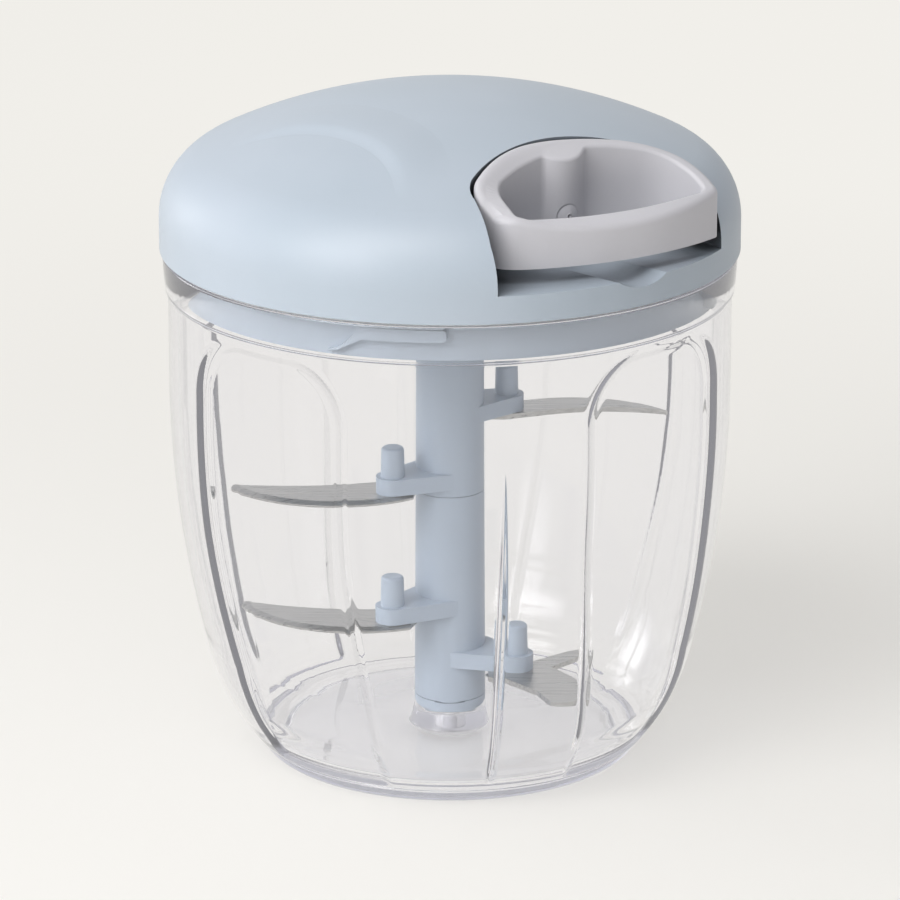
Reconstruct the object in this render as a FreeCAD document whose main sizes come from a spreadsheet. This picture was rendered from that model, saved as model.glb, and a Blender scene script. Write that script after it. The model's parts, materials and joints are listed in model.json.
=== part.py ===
import FreeCAD, Part
import Sketcher
import math
import os

from FreeCAD import Placement, Rotation, Vector

# A pull-cord food chopper: a clear bowl with a blade spindle, and a lid whose cord reel
# turns the spindle. Millimetres, +Z up, origin on the table under the middle of the bowl.
# The front faces -Y. Angles are measured about +Z from +X.

doc = FreeCAD.newDocument("pull_chopper")
sheet = doc.addObject("Spreadsheet::Sheet", "Sizes")
Z_AXIS = Vector(0, 0, 1)


class Size:
    """A number together with the spreadsheet expression that gives it."""

    def __init__(self, value, text=None):
        self.value = float(value)
        self.text = text if text is not None else f"{float(value):.9g}"

    def __add__(self, other):
        other = as_size(other)
        return Size(self.value + other.value, f"({self.text} + {other.text})")

    def __sub__(self, other):
        other = as_size(other)
        return Size(self.value - other.value, f"({self.text} - {other.text})")

    def __mul__(self, other):
        other = as_size(other)
        return Size(self.value * other.value, f"({self.text} * {other.text})")

    def __truediv__(self, other):
        other = as_size(other)
        return Size(self.value / other.value, f"({self.text} / {other.text})")

    def __neg__(self):
        return Size(-self.value, f"(0 - {self.text})")

    __radd__ = __add__
    __rmul__ = __mul__

    def __rsub__(self, other):
        return as_size(other) - self


def as_size(number):
    """Wrap a plain number, and pass a Size through."""
    return number if isinstance(number, Size) else Size(number)


def size(alias, value):
    """Put one driving dimension into the next row of the sheet."""
    size.row += 1
    sheet.set(f"A{size.row}", alias)
    sheet.set(f"B{size.row}", str(value))
    sheet.setAlias(f"B{size.row}", alias)
    return Size(value, f"Sizes.{alias}")


size.row = 0


# ---------------------------------------------------------------- driving dimensions

# bowl
foot_radius = size("foot_radius", 43.3)
foot_ring_width = size("foot_ring_width", 5.7)
foot_hollow_radius = foot_radius - foot_ring_width
foot_hollow_depth = size("foot_hollow_depth", 1.4)
foot_band_height = size("foot_band_height", 3.9)
foot_band_flare = size("foot_band_flare", 2.2)
floor_height = size("floor_height", 4.8)
belly_radius = size("belly_radius", 58.0)
belly_height = size("belly_height", 28.0)
belly_curve = size("belly_curve", 52.7)
side_height = size("side_height", 92.0)
side_curve = size("side_curve", 250.0)
bowl_wall = size("bowl_wall", 2.4)
floor_fillet = size("floor_fillet", 7.5)
collar_top = size("collar_top", 121.0)
collar_height = size("collar_height", 8.6)
collar_bottom = collar_top - collar_height
collar_radius = size("collar_radius", 66.8)
collar_step = size("collar_step", 1.2)
side_radius = collar_radius - collar_step
collar_wall = size("collar_wall", 2.2)
collar_draft = size("collar_draft", 0.5)
panel_count = 4
panel_angle = size("panel_angle", 38.0)
panel_first = size("panel_first", -150.5)
panel_drop = size("panel_drop", 3.0)
panel_top = collar_bottom - panel_drop
panel_corner = size("panel_corner", 15.0)
panel_depth = size("panel_depth", 1.4)
panel_root = size("panel_root", 0.5)
panel_round = size("panel_round", 1.6)
rib_angle = size("rib_angle", -79.0)
rib_width = size("rib_width", 1.2)
rib_height = size("rib_height", 0.8)
rib_root = size("rib_root", 0.6)
rib_top = size("rib_top", 94.0)
boss_radius = size("boss_radius", 8.6)
boss_top = size("boss_top", 8.7)
boss_draft = size("boss_draft", 0.9)

# bayonet between bowl and lid
bayonet_count = 4
lug_angle = size("lug_angle", 10.0)
lug_first = size("lug_first", -133.0)
lug_thickness = size("lug_thickness", 1.0)
lug_clearance = size("lug_clearance", 0.3)
rib_lead_angle = size("rib_lead_angle", -114.9)
rib_bend_angle = size("rib_bend_angle", -108.7)
rib_end_angle = size("rib_end_angle", -90.4)
rib_drop = size("rib_drop", 5.2)
lid_rib_thickness = size("lid_rib_thickness", 2.8)
lid_rib_clearance = size("lid_rib_clearance", 0.2)

# blade spindle
pin_radius = size("pin_radius", 2.5)
pin_seat = size("pin_seat", 2.9)
pin_top = size("pin_top", 34.5)
pin_play = size("pin_play", 0.06)
washer_radius = size("washer_radius", 6.8)
washer_thickness = size("washer_thickness", 0.8)
cap_height = size("cap_height", 2.2)
cap_spigot = size("cap_spigot", 1.8)
cap_spigot_radius = size("cap_spigot_radius", 5.8)
joint_gap = size("joint_gap", 0.15)
bush_radius = size("bush_radius", 4.2)
bush_length = size("bush_length", 15.0)
shaft_foot_radius = size("shaft_foot_radius", 8.4)
shaft_seam_radius = size("shaft_seam_radius", 8.1)
shaft_top_radius = size("shaft_top_radius", 7.85)
shaft_seam = size("shaft_seam", 62.5)
shaft_spigot_radius = size("shaft_spigot_radius", 5.0)
shaft_spigot_length = size("shaft_spigot_length", 7.0)
drive_flat = size("drive_flat", 9.6)
drive_length = size("drive_length", 12.0)
arm_thickness = size("arm_thickness", 3.8)
arm_end_radius = size("arm_end_radius", 4.05)
peg_radius = size("peg_radius", 2.8)
peg_height = size("peg_height", 7.2)
peg_draft = size("peg_draft", 1.5)
stake_radius = size("stake_radius", 1.9)
stake_head_radius = size("stake_head_radius", 3.1)
stake_head_height = size("stake_head_height", 0.6)
blade_thickness = size("blade_thickness", 1.2)
blade_setback = size("blade_setback", 20.0)
blade_length = belly_radius - blade_setback
blade_edge_curve = size("blade_edge_curve", 30.5)
blade_bevel = size("blade_bevel", 0.7)

# lid
gasket_thickness = size("gasket_thickness", 0.8)
gasket_width = size("gasket_width", 3.0)
skirt_clearance = size("skirt_clearance", 1.7)
skirt_wall = size("skirt_wall", 2.2)
skirt_depth = size("skirt_depth", 9.2)
plate_thickness = size("plate_thickness", 2.2)
cover_overhang = size("cover_overhang", 0.6)
cover_radius = collar_radius + cover_overhang
cover_wall = size("cover_wall", 2.2)
cover_straight = size("cover_straight", 7.3)
cover_shoulder = size("cover_shoulder", 17.5)
crown_space = size("crown_space", 6.4)
press_ring = size("press_ring", 0.35)

# handle and its pocket, in a frame on the middle of the handle's front edge
pull_angle = size("pull_angle", -59.8)
handle_setback = size("handle_setback", 5.2)
handle_offset = size("handle_offset", 9.8)
handle_rise = size("handle_rise", 3.4)
handle_half_width = size("handle_half_width", 28.2)
handle_depth = size("handle_depth", 22.1)
handle_front_bulge = size("handle_front_bulge", 6.0)
handle_back_curve = size("handle_back_curve", 47.92)
handle_side_centre = size("handle_side_centre", 3.0)
handle_left_swell = size("handle_left_swell", 2.4)
handle_left_round = size("handle_left_round", 7.0)
handle_left_wall = size("handle_left_wall", 5.8)
finger_left_round = size("finger_left_round", 5.5)
handle_corner = size("handle_corner", 2.4)
handle_inner_corner = size("handle_inner_corner", 2.0)
handle_front_height = size("handle_front_height", 10.8)
handle_slope = size("handle_slope", 27.8)
handle_wall = size("handle_wall", 3.8)
handle_front_bar = size("handle_front_bar", 5.0)
handle_bar_curve = size("handle_bar_curve", 150.0)
handle_bar_inset = size("handle_bar_inset", 1.8)
handle_edge = size("handle_edge", 1.8)
finger_edge = size("finger_edge", 1.0)
handle_seat_gap = size("handle_seat_gap", 0.3)
cord_boss_radius = size("cord_boss_radius", 7.5)
cord_boss_height = size("cord_boss_height", 3.0)
cord_boss_offset = size("cord_boss_offset", -3.0)
pocket_gap = size("pocket_gap", 1.4)
pocket_clearance = size("pocket_clearance", 0.7)
pocket_floor_thickness = size("pocket_floor_thickness", 3.4)
pocket_wall = size("pocket_wall", 1.8)
pocket_flare = size("pocket_flare", 4.6)
scoop_radius = size("scoop_radius", 13.2)
scoop_depth = size("scoop_depth", 2.0)
scoop_place_angle = size("scoop_place_angle", -50.0)
scoop_way_angle = size("scoop_way_angle", -44.0)
scoop_length = size("scoop_length", 26.0)

# cord, reel and recoil spring
cord_radius = size("cord_radius", 0.9)
cord_rise = size("cord_rise", 5.7)
eyelet_bore = size("eyelet_bore", 1.5)
eyelet_radius = size("eyelet_radius", 2.6)
eyelet_flange = size("eyelet_flange", 4.2)
eyelet_spotface = size("eyelet_spotface", 0.6)
eyelet_tail = size("eyelet_tail", 1.2)
knot_radius = size("knot_radius", 2.4)
knot_length = size("knot_length", 3.2)
knot_play = size("knot_play", 0.3)
cord_bend = size("cord_bend", 12.0)
cord_slack = size("cord_slack", 0.15)
reel_radius = size("reel_radius", 26.5)
reel_core = size("reel_core", 12.0)
reel_flange = size("reel_flange", 1.2)
reel_gap = size("reel_gap", 11.0)
winding_depth = size("winding_depth", 4.0)
winding_radius = reel_core + winding_depth
hub_radius = size("hub_radius", 9.4)
hub_play = size("hub_play", 0.1)
hub_flange_radius = size("hub_flange_radius", 13.5)
hub_flange_height = size("hub_flange_height", 2.0)
hub_drop = size("hub_drop", 10.4)
hub_gap = size("hub_gap", 1.4)
bearing_wall = size("bearing_wall", 2.4)
bearing_drop = size("bearing_drop", 5.8)
reel_key = size("reel_key", 12.0)
reel_play = size("reel_play", 1.3)
can_wall = size("can_wall", 1.6)
can_radius = reel_radius + reel_play + can_wall
can_clearance = size("can_clearance", 0.7)
deck_thickness = size("deck_thickness", 1.4)
window_width = size("window_width", 14.0)
window_offset = size("window_offset", 9.0)
reel_window_height = size("reel_window_height", 11.0)
arbor_radius = size("arbor_radius", 5.9)
arbor_play = size("arbor_play", 0.6)
clip_radius = size("clip_radius", 8.6)
clip_thickness = size("clip_thickness", 0.4)
spring_height = size("spring_height", 3.6)
spring_quarters = 22
spring_sheet = size("spring_sheet", 0.5)
spring_gap = size("spring_gap", 1.5)
spring_inner = arbor_radius + spring_gap
spring_pitch = size("spring_pitch", 3.2)
lid_cap_thickness = size("lid_cap_thickness", 1.3)
axle_radius = size("axle_radius", 2.0)
axle_play = size("axle_play", 0.08)
axle_depth = size("axle_depth", 10.0)
screw_count = 4
screw_inset = size("screw_inset", 12.9)
screw_first = size("screw_first", 12.0)
screw_spacing = size("screw_spacing", 75.0)
screw_radius = size("screw_radius", 1.5)
screw_play = size("screw_play", 0.15)
screw_head_radius = size("screw_head_radius", 2.8)
screw_head_height = size("screw_head_height", 1.2)
screw_boss_radius = size("screw_boss_radius", 3.6)
screw_grip = size("screw_grip", 7.0)

# places worked out from the driving dimensions
washer_top = boss_top + washer_thickness
cap_top = washer_top + cap_height
shaft_bottom = cap_top + joint_gap
bush_bottom = shaft_bottom + cap_spigot
bush_top = bush_bottom + bush_length
lid_seat = collar_top + gasket_thickness
plate_top = lid_seat + plate_thickness
skirt_bottom = lid_seat - skirt_depth
collar_inner = collar_radius - collar_wall
skirt_radius = collar_inner - skirt_clearance
screw_circle = skirt_radius - screw_inset
lid_rib_top = collar_top - lug_thickness - lid_rib_clearance
hub_bottom = lid_seat - hub_drop
shaft_shoulder = hub_bottom - hub_gap
shaft_top = shaft_shoulder + drive_length
pocket_floor = plate_top + pocket_clearance + pocket_floor_thickness
handle_bottom = pocket_floor + handle_rise
cord_height = handle_bottom + cord_rise
reel_bottom = cord_height - reel_gap / 2 - reel_flange
reel_top = reel_bottom + 2 * reel_flange + reel_gap
bearing_bottom = lid_seat - bearing_drop
bearing_top = reel_bottom - hub_flange_height
deck_bottom = reel_top + can_clearance
deck_top = deck_bottom + deck_thickness
can_top = deck_top + spring_height + can_clearance
cover_straight_top = lid_seat + cover_straight
cover_top = can_top + lid_cap_thickness + crown_space
handle_reach = can_radius + handle_setback + handle_depth

# radius of the handle's sides, tangent to the straight ends and to the back's arc
handle_back_rise = handle_depth - handle_side_centre
handle_side_curve = ((handle_half_width * handle_half_width + handle_back_rise * handle_back_rise
                      - 2 * handle_back_curve * handle_back_rise)
                     / (2 * (handle_half_width - handle_back_curve)))


# ---------------------------------------------------------------- drawing helpers


def bind(feature, prop, amount):
    """Bind one property of a feature to its expression."""
    feature.setExpression(prop, as_size(amount).text)


def lock(sketch, axis, edge, point, amount):
    """Hold one coordinate of a sketch point at an amount, bound to its expression."""
    amount = as_size(amount)
    if abs(amount.value) < 1e-9:
        sketch.addConstraint(Sketcher.Constraint("PointOnObject", edge, point, -2 if axis == "X" else -1))
        return
    if amount.value > 0:
        rule = Sketcher.Constraint("Distance" + axis, -1, 1, edge, point, amount.value)
    else:
        rule = Sketcher.Constraint("Distance" + axis, edge, point, -1, 1, -amount.value)
        amount = -amount
    index = sketch.addConstraint(rule)
    sketch.setExpression(f"Constraints[{index}]", amount.text)


def arc_middle(start, end, radius, side):
    """Middle of the short arc of a radius that bulges left (+1) or right (-1) of the way."""
    chord = end - start
    half = chord.Length / 2
    rise = radius - math.sqrt(max(radius * radius - half * half, 0.0))
    left = Vector(-chord.y, chord.x, 0).normalize()
    return (start + end) * 0.5 + left * (rise * side)


def draw(sketch, corners):
    """Closed outline. A corner is (x, y), or (x, y, radius, side) where the edge that
    leaves it is an arc, with side +1 where it bulges left of the way and -1 right."""
    count = len(corners)
    ends = [Vector(as_size(c[0]).value, as_size(c[1]).value, 0) for c in corners]
    edges = []
    for i, corner in enumerate(corners):
        start = ends[i]
        end = ends[(i + 1) % count]
        if len(corner) == 2:
            edge = sketch.addGeometry(Part.LineSegment(start, end), False)
            edges.append((edge, 1, 2))
            continue
        radius = as_size(corner[2])
        middle = arc_middle(start, end, radius.value, corner[3])
        edge = sketch.addGeometry(Part.Arc(start, middle, end), False)
        forward = (sketch.getPoint(edge, 1) - start).Length < (sketch.getPoint(edge, 2) - start).Length
        edges.append((edge, 1, 2) if forward else (edge, 2, 1))
    for i, corner in enumerate(corners):
        before = edges[i - 1]
        here = edges[i]
        sketch.addConstraint(Sketcher.Constraint("Coincident", before[0], before[2], here[0], here[1]))
        lock(sketch, "X", here[0], here[1], corner[0])
        lock(sketch, "Y", here[0], here[1], corner[1])
        if len(corner) > 2:
            radius = as_size(corner[2])
            index = sketch.addConstraint(Sketcher.Constraint("Radius", here[0], radius.value))
            sketch.setExpression(f"Constraints[{index}]", radius.text)


def draw_circle(sketch, x, y, radius):
    """One circle with its centre and radius bound."""
    centre = Vector(as_size(x).value, as_size(y).value, 0)
    radius = as_size(radius)
    edge = sketch.addGeometry(Part.Circle(centre, Z_AXIS, radius.value), False)
    lock(sketch, "X", edge, 3, x)
    lock(sketch, "Y", edge, 3, y)
    index = sketch.addConstraint(Sketcher.Constraint("Radius", edge, radius.value))
    sketch.setExpression(f"Constraints[{index}]", radius.text)


def new_body(label):
    """A PartDesign body for one physical piece."""
    body = doc.addObject("PartDesign::Body", label)
    body.Label = label
    return body


def sketch_in(body, plane, name, height=0, turn=0, shift=(0, 0)):
    """Sketch on one of the body's own planes, lifted, turned and shifted in that plane."""
    sketch = body.newObject("Sketcher::SketchObject", name)
    support = next(f for f in body.Origin.OriginFeatures if f.Role == plane)
    sketch.AttachmentSupport = (support, [""])
    sketch.MapMode = "FlatFace"
    height = as_size(height)
    x = as_size(shift[0])
    y = as_size(shift[1])
    base = Vector(x.value, y.value, height.value)
    sketch.AttachmentOffset = Placement(base, Rotation(Z_AXIS, as_size(turn).value))
    for letter, amount in (("x", x), ("y", y), ("z", height)):
        bind(sketch, f"AttachmentOffset.Base.{letter}", amount)
    return sketch


def revolve(body, name, corners, cut=False):
    """Turn a profile in the XZ plane about Z, as material or as a groove."""
    sketch = sketch_in(body, "XZ_Plane", name + "_profile")
    draw(sketch, corners)
    feature = body.newObject("PartDesign::Groove" if cut else "PartDesign::Revolution", name)
    feature.Profile = sketch
    feature.ReferenceAxis = (sketch, ["V_Axis"])
    feature.Angle = 360.0
    return feature


def pad(body, name, sketch, length, down=False):
    """Raise a sketch by a length."""
    feature = body.newObject("PartDesign::Pad", name)
    feature.Profile = sketch
    feature.Reversed = down
    bind(feature, "Length", length)
    return feature


def pocket(body, name, sketch, length, up=True):
    """Cut a sketch upwards (or downwards) by a length."""
    feature = body.newObject("PartDesign::Pocket", name)
    feature.Profile = sketch
    feature.Reversed = up
    bind(feature, "Length", length)
    return feature


def round_edges(body, name, base, edges, radius):
    """Fillet named edges of a feature."""
    feature = body.newObject("PartDesign::Fillet", name)
    feature.Base = (base, edges)
    bind(feature, "Radius", radius)
    return feature


def edges_where(feature, test):
    """Names of a feature's edges for which a test on the edge holds."""
    doc.recompute()
    return [f"Edge{i + 1}" for i, edge in enumerate(feature.Shape.Edges) if test(edge)]


def meridian(angle):
    """Turn a sketch upright, with its X pointing outwards at an angle about Z."""
    return Rotation(Z_AXIS, angle) * Rotation(Vector(1, 0, 0), 90)


def sector(name, corners, first, sweep):
    """A profile turned about Z from a first angle through a sweep."""
    sketch = doc.addObject("Sketcher::SketchObject", name + "_profile")
    sketch.Placement = Placement(Vector(), meridian(as_size(first).value))
    draw(sketch, corners)
    feature = doc.addObject("Part::Revolution", name)
    feature.Source = sketch
    feature.Axis = Z_AXIS
    feature.Base = Vector()
    feature.Solid = True
    bind(feature, "Angle", sweep)
    return feature


def fused(name, parts):
    """Union of several features."""
    feature = doc.addObject("Part::MultiFuse", name)
    feature.Shapes = parts
    return feature


def cut(name, base, tool):
    """Difference of two features."""
    feature = doc.addObject("Part::Cut", name)
    feature.Base = base
    feature.Tool = tool
    return feature


def ring(label, inner, outer, bottom, top):
    """A plain ring as a body of its own."""
    body = new_body(label)
    revolve(body, label + "_ring", [(inner, bottom), (outer, bottom), (outer, top), (inner, top)])
    return body


# ---------------------------------------------------------------- bowl


def bowl_side(inset):
    """Outer wall of the bowl from its foot band up, moved inwards by an inset."""
    return [
        (foot_radius + foot_band_flare + 1.2 - inset, foot_band_height, belly_curve - inset, -1),
        (belly_radius - inset, belly_height, side_curve - inset, -1),
        (side_radius - inset, side_height),
    ]


def make_bowl():
    """Clear bowl: foot ring, curved wall with four pressed panels, collar and lugs."""
    inner_side = side_radius - bowl_wall
    blank = sector("bowl_blank", [
        (0, foot_hollow_depth),
        (foot_hollow_radius, foot_hollow_depth),
        (foot_hollow_radius + 0.8, 0),
        (foot_radius, 0),
        (foot_radius + 1.2, 1.0),
        (foot_radius + foot_band_flare, foot_band_height - 1.0),
        (foot_radius + foot_band_flare - 0.5, foot_band_height - 0.4),
        *bowl_side(Size(0)),
        (side_radius, collar_bottom - 0.4),
        (collar_radius - collar_draft, collar_bottom),
        (collar_radius, collar_top - 0.4),
        (collar_radius - 0.4, collar_top),
        (collar_inner, collar_top),
        (collar_inner, collar_bottom),
        (inner_side, collar_bottom - 0.6),
        (inner_side, side_height, side_curve - bowl_wall, 1),
        (belly_radius - bowl_wall, belly_height, belly_curve - bowl_wall, 1),
        (foot_radius + 2.4, floor_height + 4.4, floor_fillet, 1),
        (foot_hollow_radius + 0.6, floor_height),
        (boss_radius + boss_draft, floor_height),
        (boss_radius, boss_top),
        (pin_radius, boss_top),
        (pin_radius, pin_seat),
        (0, pin_seat),
    ], 0, 360)
    recesses = []
    swells = []
    for i in range(panel_count):
        first = panel_first + i * 360.0 / panel_count
        recesses.append(make_panel(f"recess_{i + 1}", -panel_root, panel_depth, first))
        swells.append(make_panel(f"swell_{i + 1}", bowl_wall - panel_root, bowl_wall + panel_depth, first))
    recessed = cut("bowl_recessed", blank, fused("recesses", recesses))
    lugs = []
    for i in range(bayonet_count):
        reach = skirt_radius + lug_clearance
        lugs.append(sector(f"lug_{i + 1}", [
            (reach, collar_top - lug_thickness),
            (collar_inner + 0.5, collar_top - lug_thickness),
            (collar_inner + 0.5, collar_top),
            (reach, collar_top),
        ], lug_first + i * 360.0 / bayonet_count, lug_angle))
    ribs = [make_wall_rib(i) for i in range(2)]
    bowl = fused("bowl", [recessed] + swells + lugs + ribs)
    bowl.Refine = True
    bowl.Label = "bowl"
    return bowl


def wall_radius(z, inset):
    """Radius of the bowl's wall at a height, moved inwards by an inset."""
    low, middle, high = bowl_side(inset)
    for start, end in ((low, middle), (middle, high)):
        if start[1].value <= z <= end[1].value:
            first = Vector(start[0].value, start[1].value, 0)
            chord = Vector(end[0].value, end[1].value, 0) - first
            left = Vector(-chord.y, chord.x, 0).normalize()
            depth = math.sqrt(start[2].value ** 2 - (chord.Length / 2) ** 2)
            centre = first + chord * 0.5 + left * depth
            return centre.x + math.sqrt(start[2].value ** 2 - (z - centre.y) ** 2)
    return high[0].value


def make_panel(name, outside, inside, first):
    """Arched panel between two insets of the wall, with its inner rim rounded. It is the tool
    that presses the wall in from outside, or the swell that this leaves on the inside."""
    low, middle, high = bowl_side(inside)
    wall_low, wall_middle, wall_high = bowl_side(outside)
    block = sector(name + "_block", [
        low,
        middle,
        high,
        (high[0], panel_top),
        (wall_high[0], panel_top),
        (wall_high[0], wall_high[1], side_curve - outside, 1),
        (wall_middle[0], wall_middle[1], belly_curve - outside, 1),
        (wall_low[0], wall_low[1]),
    ], first, panel_angle)

    def is_corner(edge):
        box = edge.BoundBox
        return isinstance(edge.Curve, Part.Line) and box.ZLength < 1e-6 and abs(box.ZMax - panel_top.value) < 1e-6

    def is_inner_rim(edge):
        if edge.BoundBox.ZLength < 1 and edge.BoundBox.ZMin < panel_top.value - 0.1:
            return False
        middle = (edge.FirstParameter + edge.LastParameter) / 2
        places = [edge.valueAt(p) for p in (edge.FirstParameter, middle, edge.LastParameter)]
        return all(abs(math.hypot(p.x, p.y) - wall_radius(p.z, as_size(inside).value)) < 0.02 for p in places)
    arch = fillet(name + "_arch", block, is_corner, panel_corner)
    return fillet(name, arch, is_inner_rim, panel_round)


def fillet(name, base, test, radius):
    """Round the edges of a feature for which a test on the edge holds."""
    doc.recompute()
    feature = doc.addObject("Part::Fillet", name)
    feature.Base = base
    feature.Edges = [(i + 1, radius.value, radius.value)
                     for i, edge in enumerate(base.Shape.Edges) if test(edge)]
    return feature


def make_wall_rib(index):
    """Slim upright rib on the inside of the wall, one at each mould parting."""
    turn = (rib_width / side_radius) * (180 / math.pi)
    first = rib_angle - turn / 2 + index * 180
    inset = bowl_wall - rib_root
    middle, high = bowl_side(bowl_wall + rib_height)[1:]
    wall_middle, wall_high = bowl_side(inset)[1:]
    return sector(f"wall_rib_{index + 1}", [
        (middle[0], middle[1], middle[2], -1),
        high,
        (wall_high[0], rib_top),
        (wall_high[0], wall_high[1], side_curve - inset, 1),
        (wall_middle[0], wall_middle[1]),
    ], first, turn)


def make_spindle_pin():
    """Steel pin moulded into the floor boss."""
    body = new_body("spindle_pin")
    revolve(body, "pin", [
        (0, pin_seat),
        (pin_radius, pin_seat),
        (pin_radius, pin_top - 1.4),
        (pin_radius - 0.8, pin_top - 0.3),
        (0, pin_top),
    ])
    return body


# ---------------------------------------------------------------- blade spindle

ARMS = {
    "upper": [
        ("arm_top", size("arm_top_height", 79.7), size("arm_top_angle", 28.0), size("arm_top_reach", 15.1)),
        ("arm_middle", shaft_seam + blade_thickness + stake_head_height, size("arm_middle_angle", -146.5),
         size("arm_middle_reach", 16.0)),
    ],
    "lower": [
        ("arm_low", size("arm_low_height", 33.1), size("arm_low_angle", -142.0), size("arm_low_reach", 17.1)),
        ("arm_bottom", size("arm_bottom_height", 20.3), size("arm_bottom_angle", -26.5),
         size("arm_bottom_reach", 17.4)),
    ],
}


def make_arm(body, arm, shaft_radius, sheets):
    """Tapered arm with its peg above, and the staked stud that holds the blades below."""
    name, height, angle, reach = arm
    lean = math.asin((shaft_radius.value - arm_end_radius.value) / reach.value)
    root_x = shaft_radius * math.sin(lean)
    root_y = shaft_radius * math.cos(lean)
    end_x = reach + arm_end_radius * math.sin(lean)
    end_y = arm_end_radius * math.cos(lean)
    tab = sketch_in(body, "XY_Plane", name + "_outline", height, angle)
    draw(tab, [
        (root_x, -root_y),
        (end_x, -end_y, arm_end_radius, -1),
        (reach + arm_end_radius, 0, arm_end_radius, -1),
        (end_x, end_y),
        (root_x, root_y),
    ])
    pad(body, name, tab, arm_thickness)
    post = sketch_in(body, "XY_Plane", name + "_peg_outline", height + arm_thickness, angle)
    draw_circle(post, reach, 0, peg_radius)
    peg = pad(body, name + "_peg", post, peg_height)
    bind(peg, "TaperAngle", -peg_draft)
    stack = blade_thickness * sheets
    stud = sketch_in(body, "XY_Plane", name + "_stud_outline", height, angle)
    draw_circle(stud, reach, 0, stake_radius)
    pad(body, name + "_stud", stud, stack, down=True)
    head = sketch_in(body, "XY_Plane", name + "_stake_outline", height - stack, angle)
    draw_circle(head, reach, 0, stake_head_radius)
    pad(body, name + "_stake", head, stake_head_height, down=True)
    return peg


def round_pegs(body, last, arms):
    """Soften the upper rim of each peg."""
    tops = [arm[1].value + arm_thickness.value + peg_height.value for arm in arms]

    def is_rim(edge):
        box = edge.BoundBox
        level = any(abs(box.ZMin - z) < 0.01 and abs(box.ZMax - z) < 0.01 for z in tops)
        return level and box.DiagonalLength < 2.85 * peg_radius.value

    round_edges(body, body.Name + "_peg_rims", last, edges_where(last, is_rim), peg_radius * 0.25)


def make_shaft_lower():
    """Lower spindle moulding with the two lower arms; it turns on the bowl's pin."""
    body = new_body("shaft_lower")
    revolve(body, "lower_barrel", [
        (0, shaft_bottom),
        (shaft_foot_radius, shaft_bottom),
        (shaft_seam_radius, shaft_seam - joint_gap),
        (shaft_spigot_radius, shaft_seam - joint_gap),
        (shaft_spigot_radius, shaft_seam + shaft_spigot_length),
        (0, shaft_seam + shaft_spigot_length),
    ])
    make_arm(body, ARMS["lower"][0], shaft_seam_radius, 1)
    make_arm(body, ARMS["lower"][1], shaft_seam_radius, 2)
    bore = revolve(body, "lower_bore", [
        (0, shaft_bottom),
        (cap_spigot_radius, shaft_bottom),
        (cap_spigot_radius, bush_bottom),
        (bush_radius, bush_bottom),
        (bush_radius, bush_top),
        (pin_radius + 0.5, bush_top),
        (pin_radius + 0.5, pin_top + 1.5),
        (0, pin_top + 1.5),
    ], cut=True)
    round_pegs(body, bore, ARMS["lower"])
    return body


def make_shaft_upper():
    """Upper spindle moulding with the two upper arms and the six-sided drive end."""
    body = new_body("shaft_upper")
    revolve(body, "upper_barrel", [
        (0, shaft_seam),
        (shaft_seam_radius, shaft_seam),
        (shaft_top_radius, shaft_shoulder - 0.6),
        (shaft_top_radius - 0.6, shaft_shoulder),
        (0, shaft_shoulder),
    ])
    for arm in ARMS["upper"]:
        make_arm(body, arm, shaft_top_radius, 1)
    key = sketch_in(body, "XY_Plane", "drive_outline", shaft_shoulder)
    draw(key, hexagon(drive_flat))
    pad(body, "drive_end", key, drive_length)
    socket = revolve(body, "upper_socket", [
        (0, shaft_seam),
        (shaft_spigot_radius, shaft_seam),
        (shaft_spigot_radius, shaft_seam + shaft_spigot_length),
        (0, shaft_seam + shaft_spigot_length),
    ], cut=True)
    round_pegs(body, socket, ARMS["upper"])
    return body


def hexagon(flats, clearance=0):
    """Six corners of a hexagon with a width across flats, plus a clearance all round."""
    corner = (flats + 2 * as_size(clearance)) / math.sqrt(3)
    return [(corner * math.cos(math.radians(60 * i + 30)), corner * math.sin(math.radians(60 * i + 30)))
            for i in range(6)]


def make_foot_parts():
    """Foot cap and bush of the spindle, and the loose thrust washer below them."""
    cap = new_body("shaft_foot_cap")
    revolve(cap, "foot_cap", [
        (pin_radius + 0.5, washer_top),
        (shaft_foot_radius - 0.5, washer_top),
        (shaft_foot_radius, washer_top + 0.5),
        (shaft_foot_radius, cap_top),
        (cap_spigot_radius, cap_top),
        (cap_spigot_radius, bush_bottom),
        (pin_radius + 0.5, bush_bottom),
    ])
    bush = ring("pin_bush", pin_radius + pin_play, bush_radius, bush_bottom, bush_top)
    washer = ring("thrust_washer", pin_radius + 0.3, washer_radius, boss_top, washer_top)
    return [cap, bush, washer]


# blade outlines, from the stud's axis: X runs to the tip, +Y is the leading edge
heel_x = size("heel_x", -5.0)
heel_y = size("heel_y", 2.0)
heel_back = size("heel_back", -5.0)
back_start_x = size("back_start_x", 12.0)
back_start_y = size("back_start_y", -3.8)
back_curve = size("back_curve", 85.0)
slim_back_x = size("slim_back_x", 7.5)
slim_back_y = size("slim_back_y", -2.2)
slim_back_curve = size("slim_back_curve", 42.0)
tip_width = size("tip_width", 1.5)
leaf_length = size("leaf_length", 25.5)
leaf_belly = size("leaf_belly", 9.7)
wing_length = size("wing_length", 21.8)
wing_root = size("wing_root", 5.2)


def sickle(back_x, back_y, curve):
    """Long blade with a convex leading edge and a hollow back."""
    return [
        (heel_x, heel_back),
        (back_x - 8, back_y - 3),
        (back_x, back_y, curve, 1),
        (blade_length, -tip_width / 2, tip_width, -1),
        (blade_length, tip_width / 2, blade_edge_curve, -1),
        (heel_x, heel_y),
    ]


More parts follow.
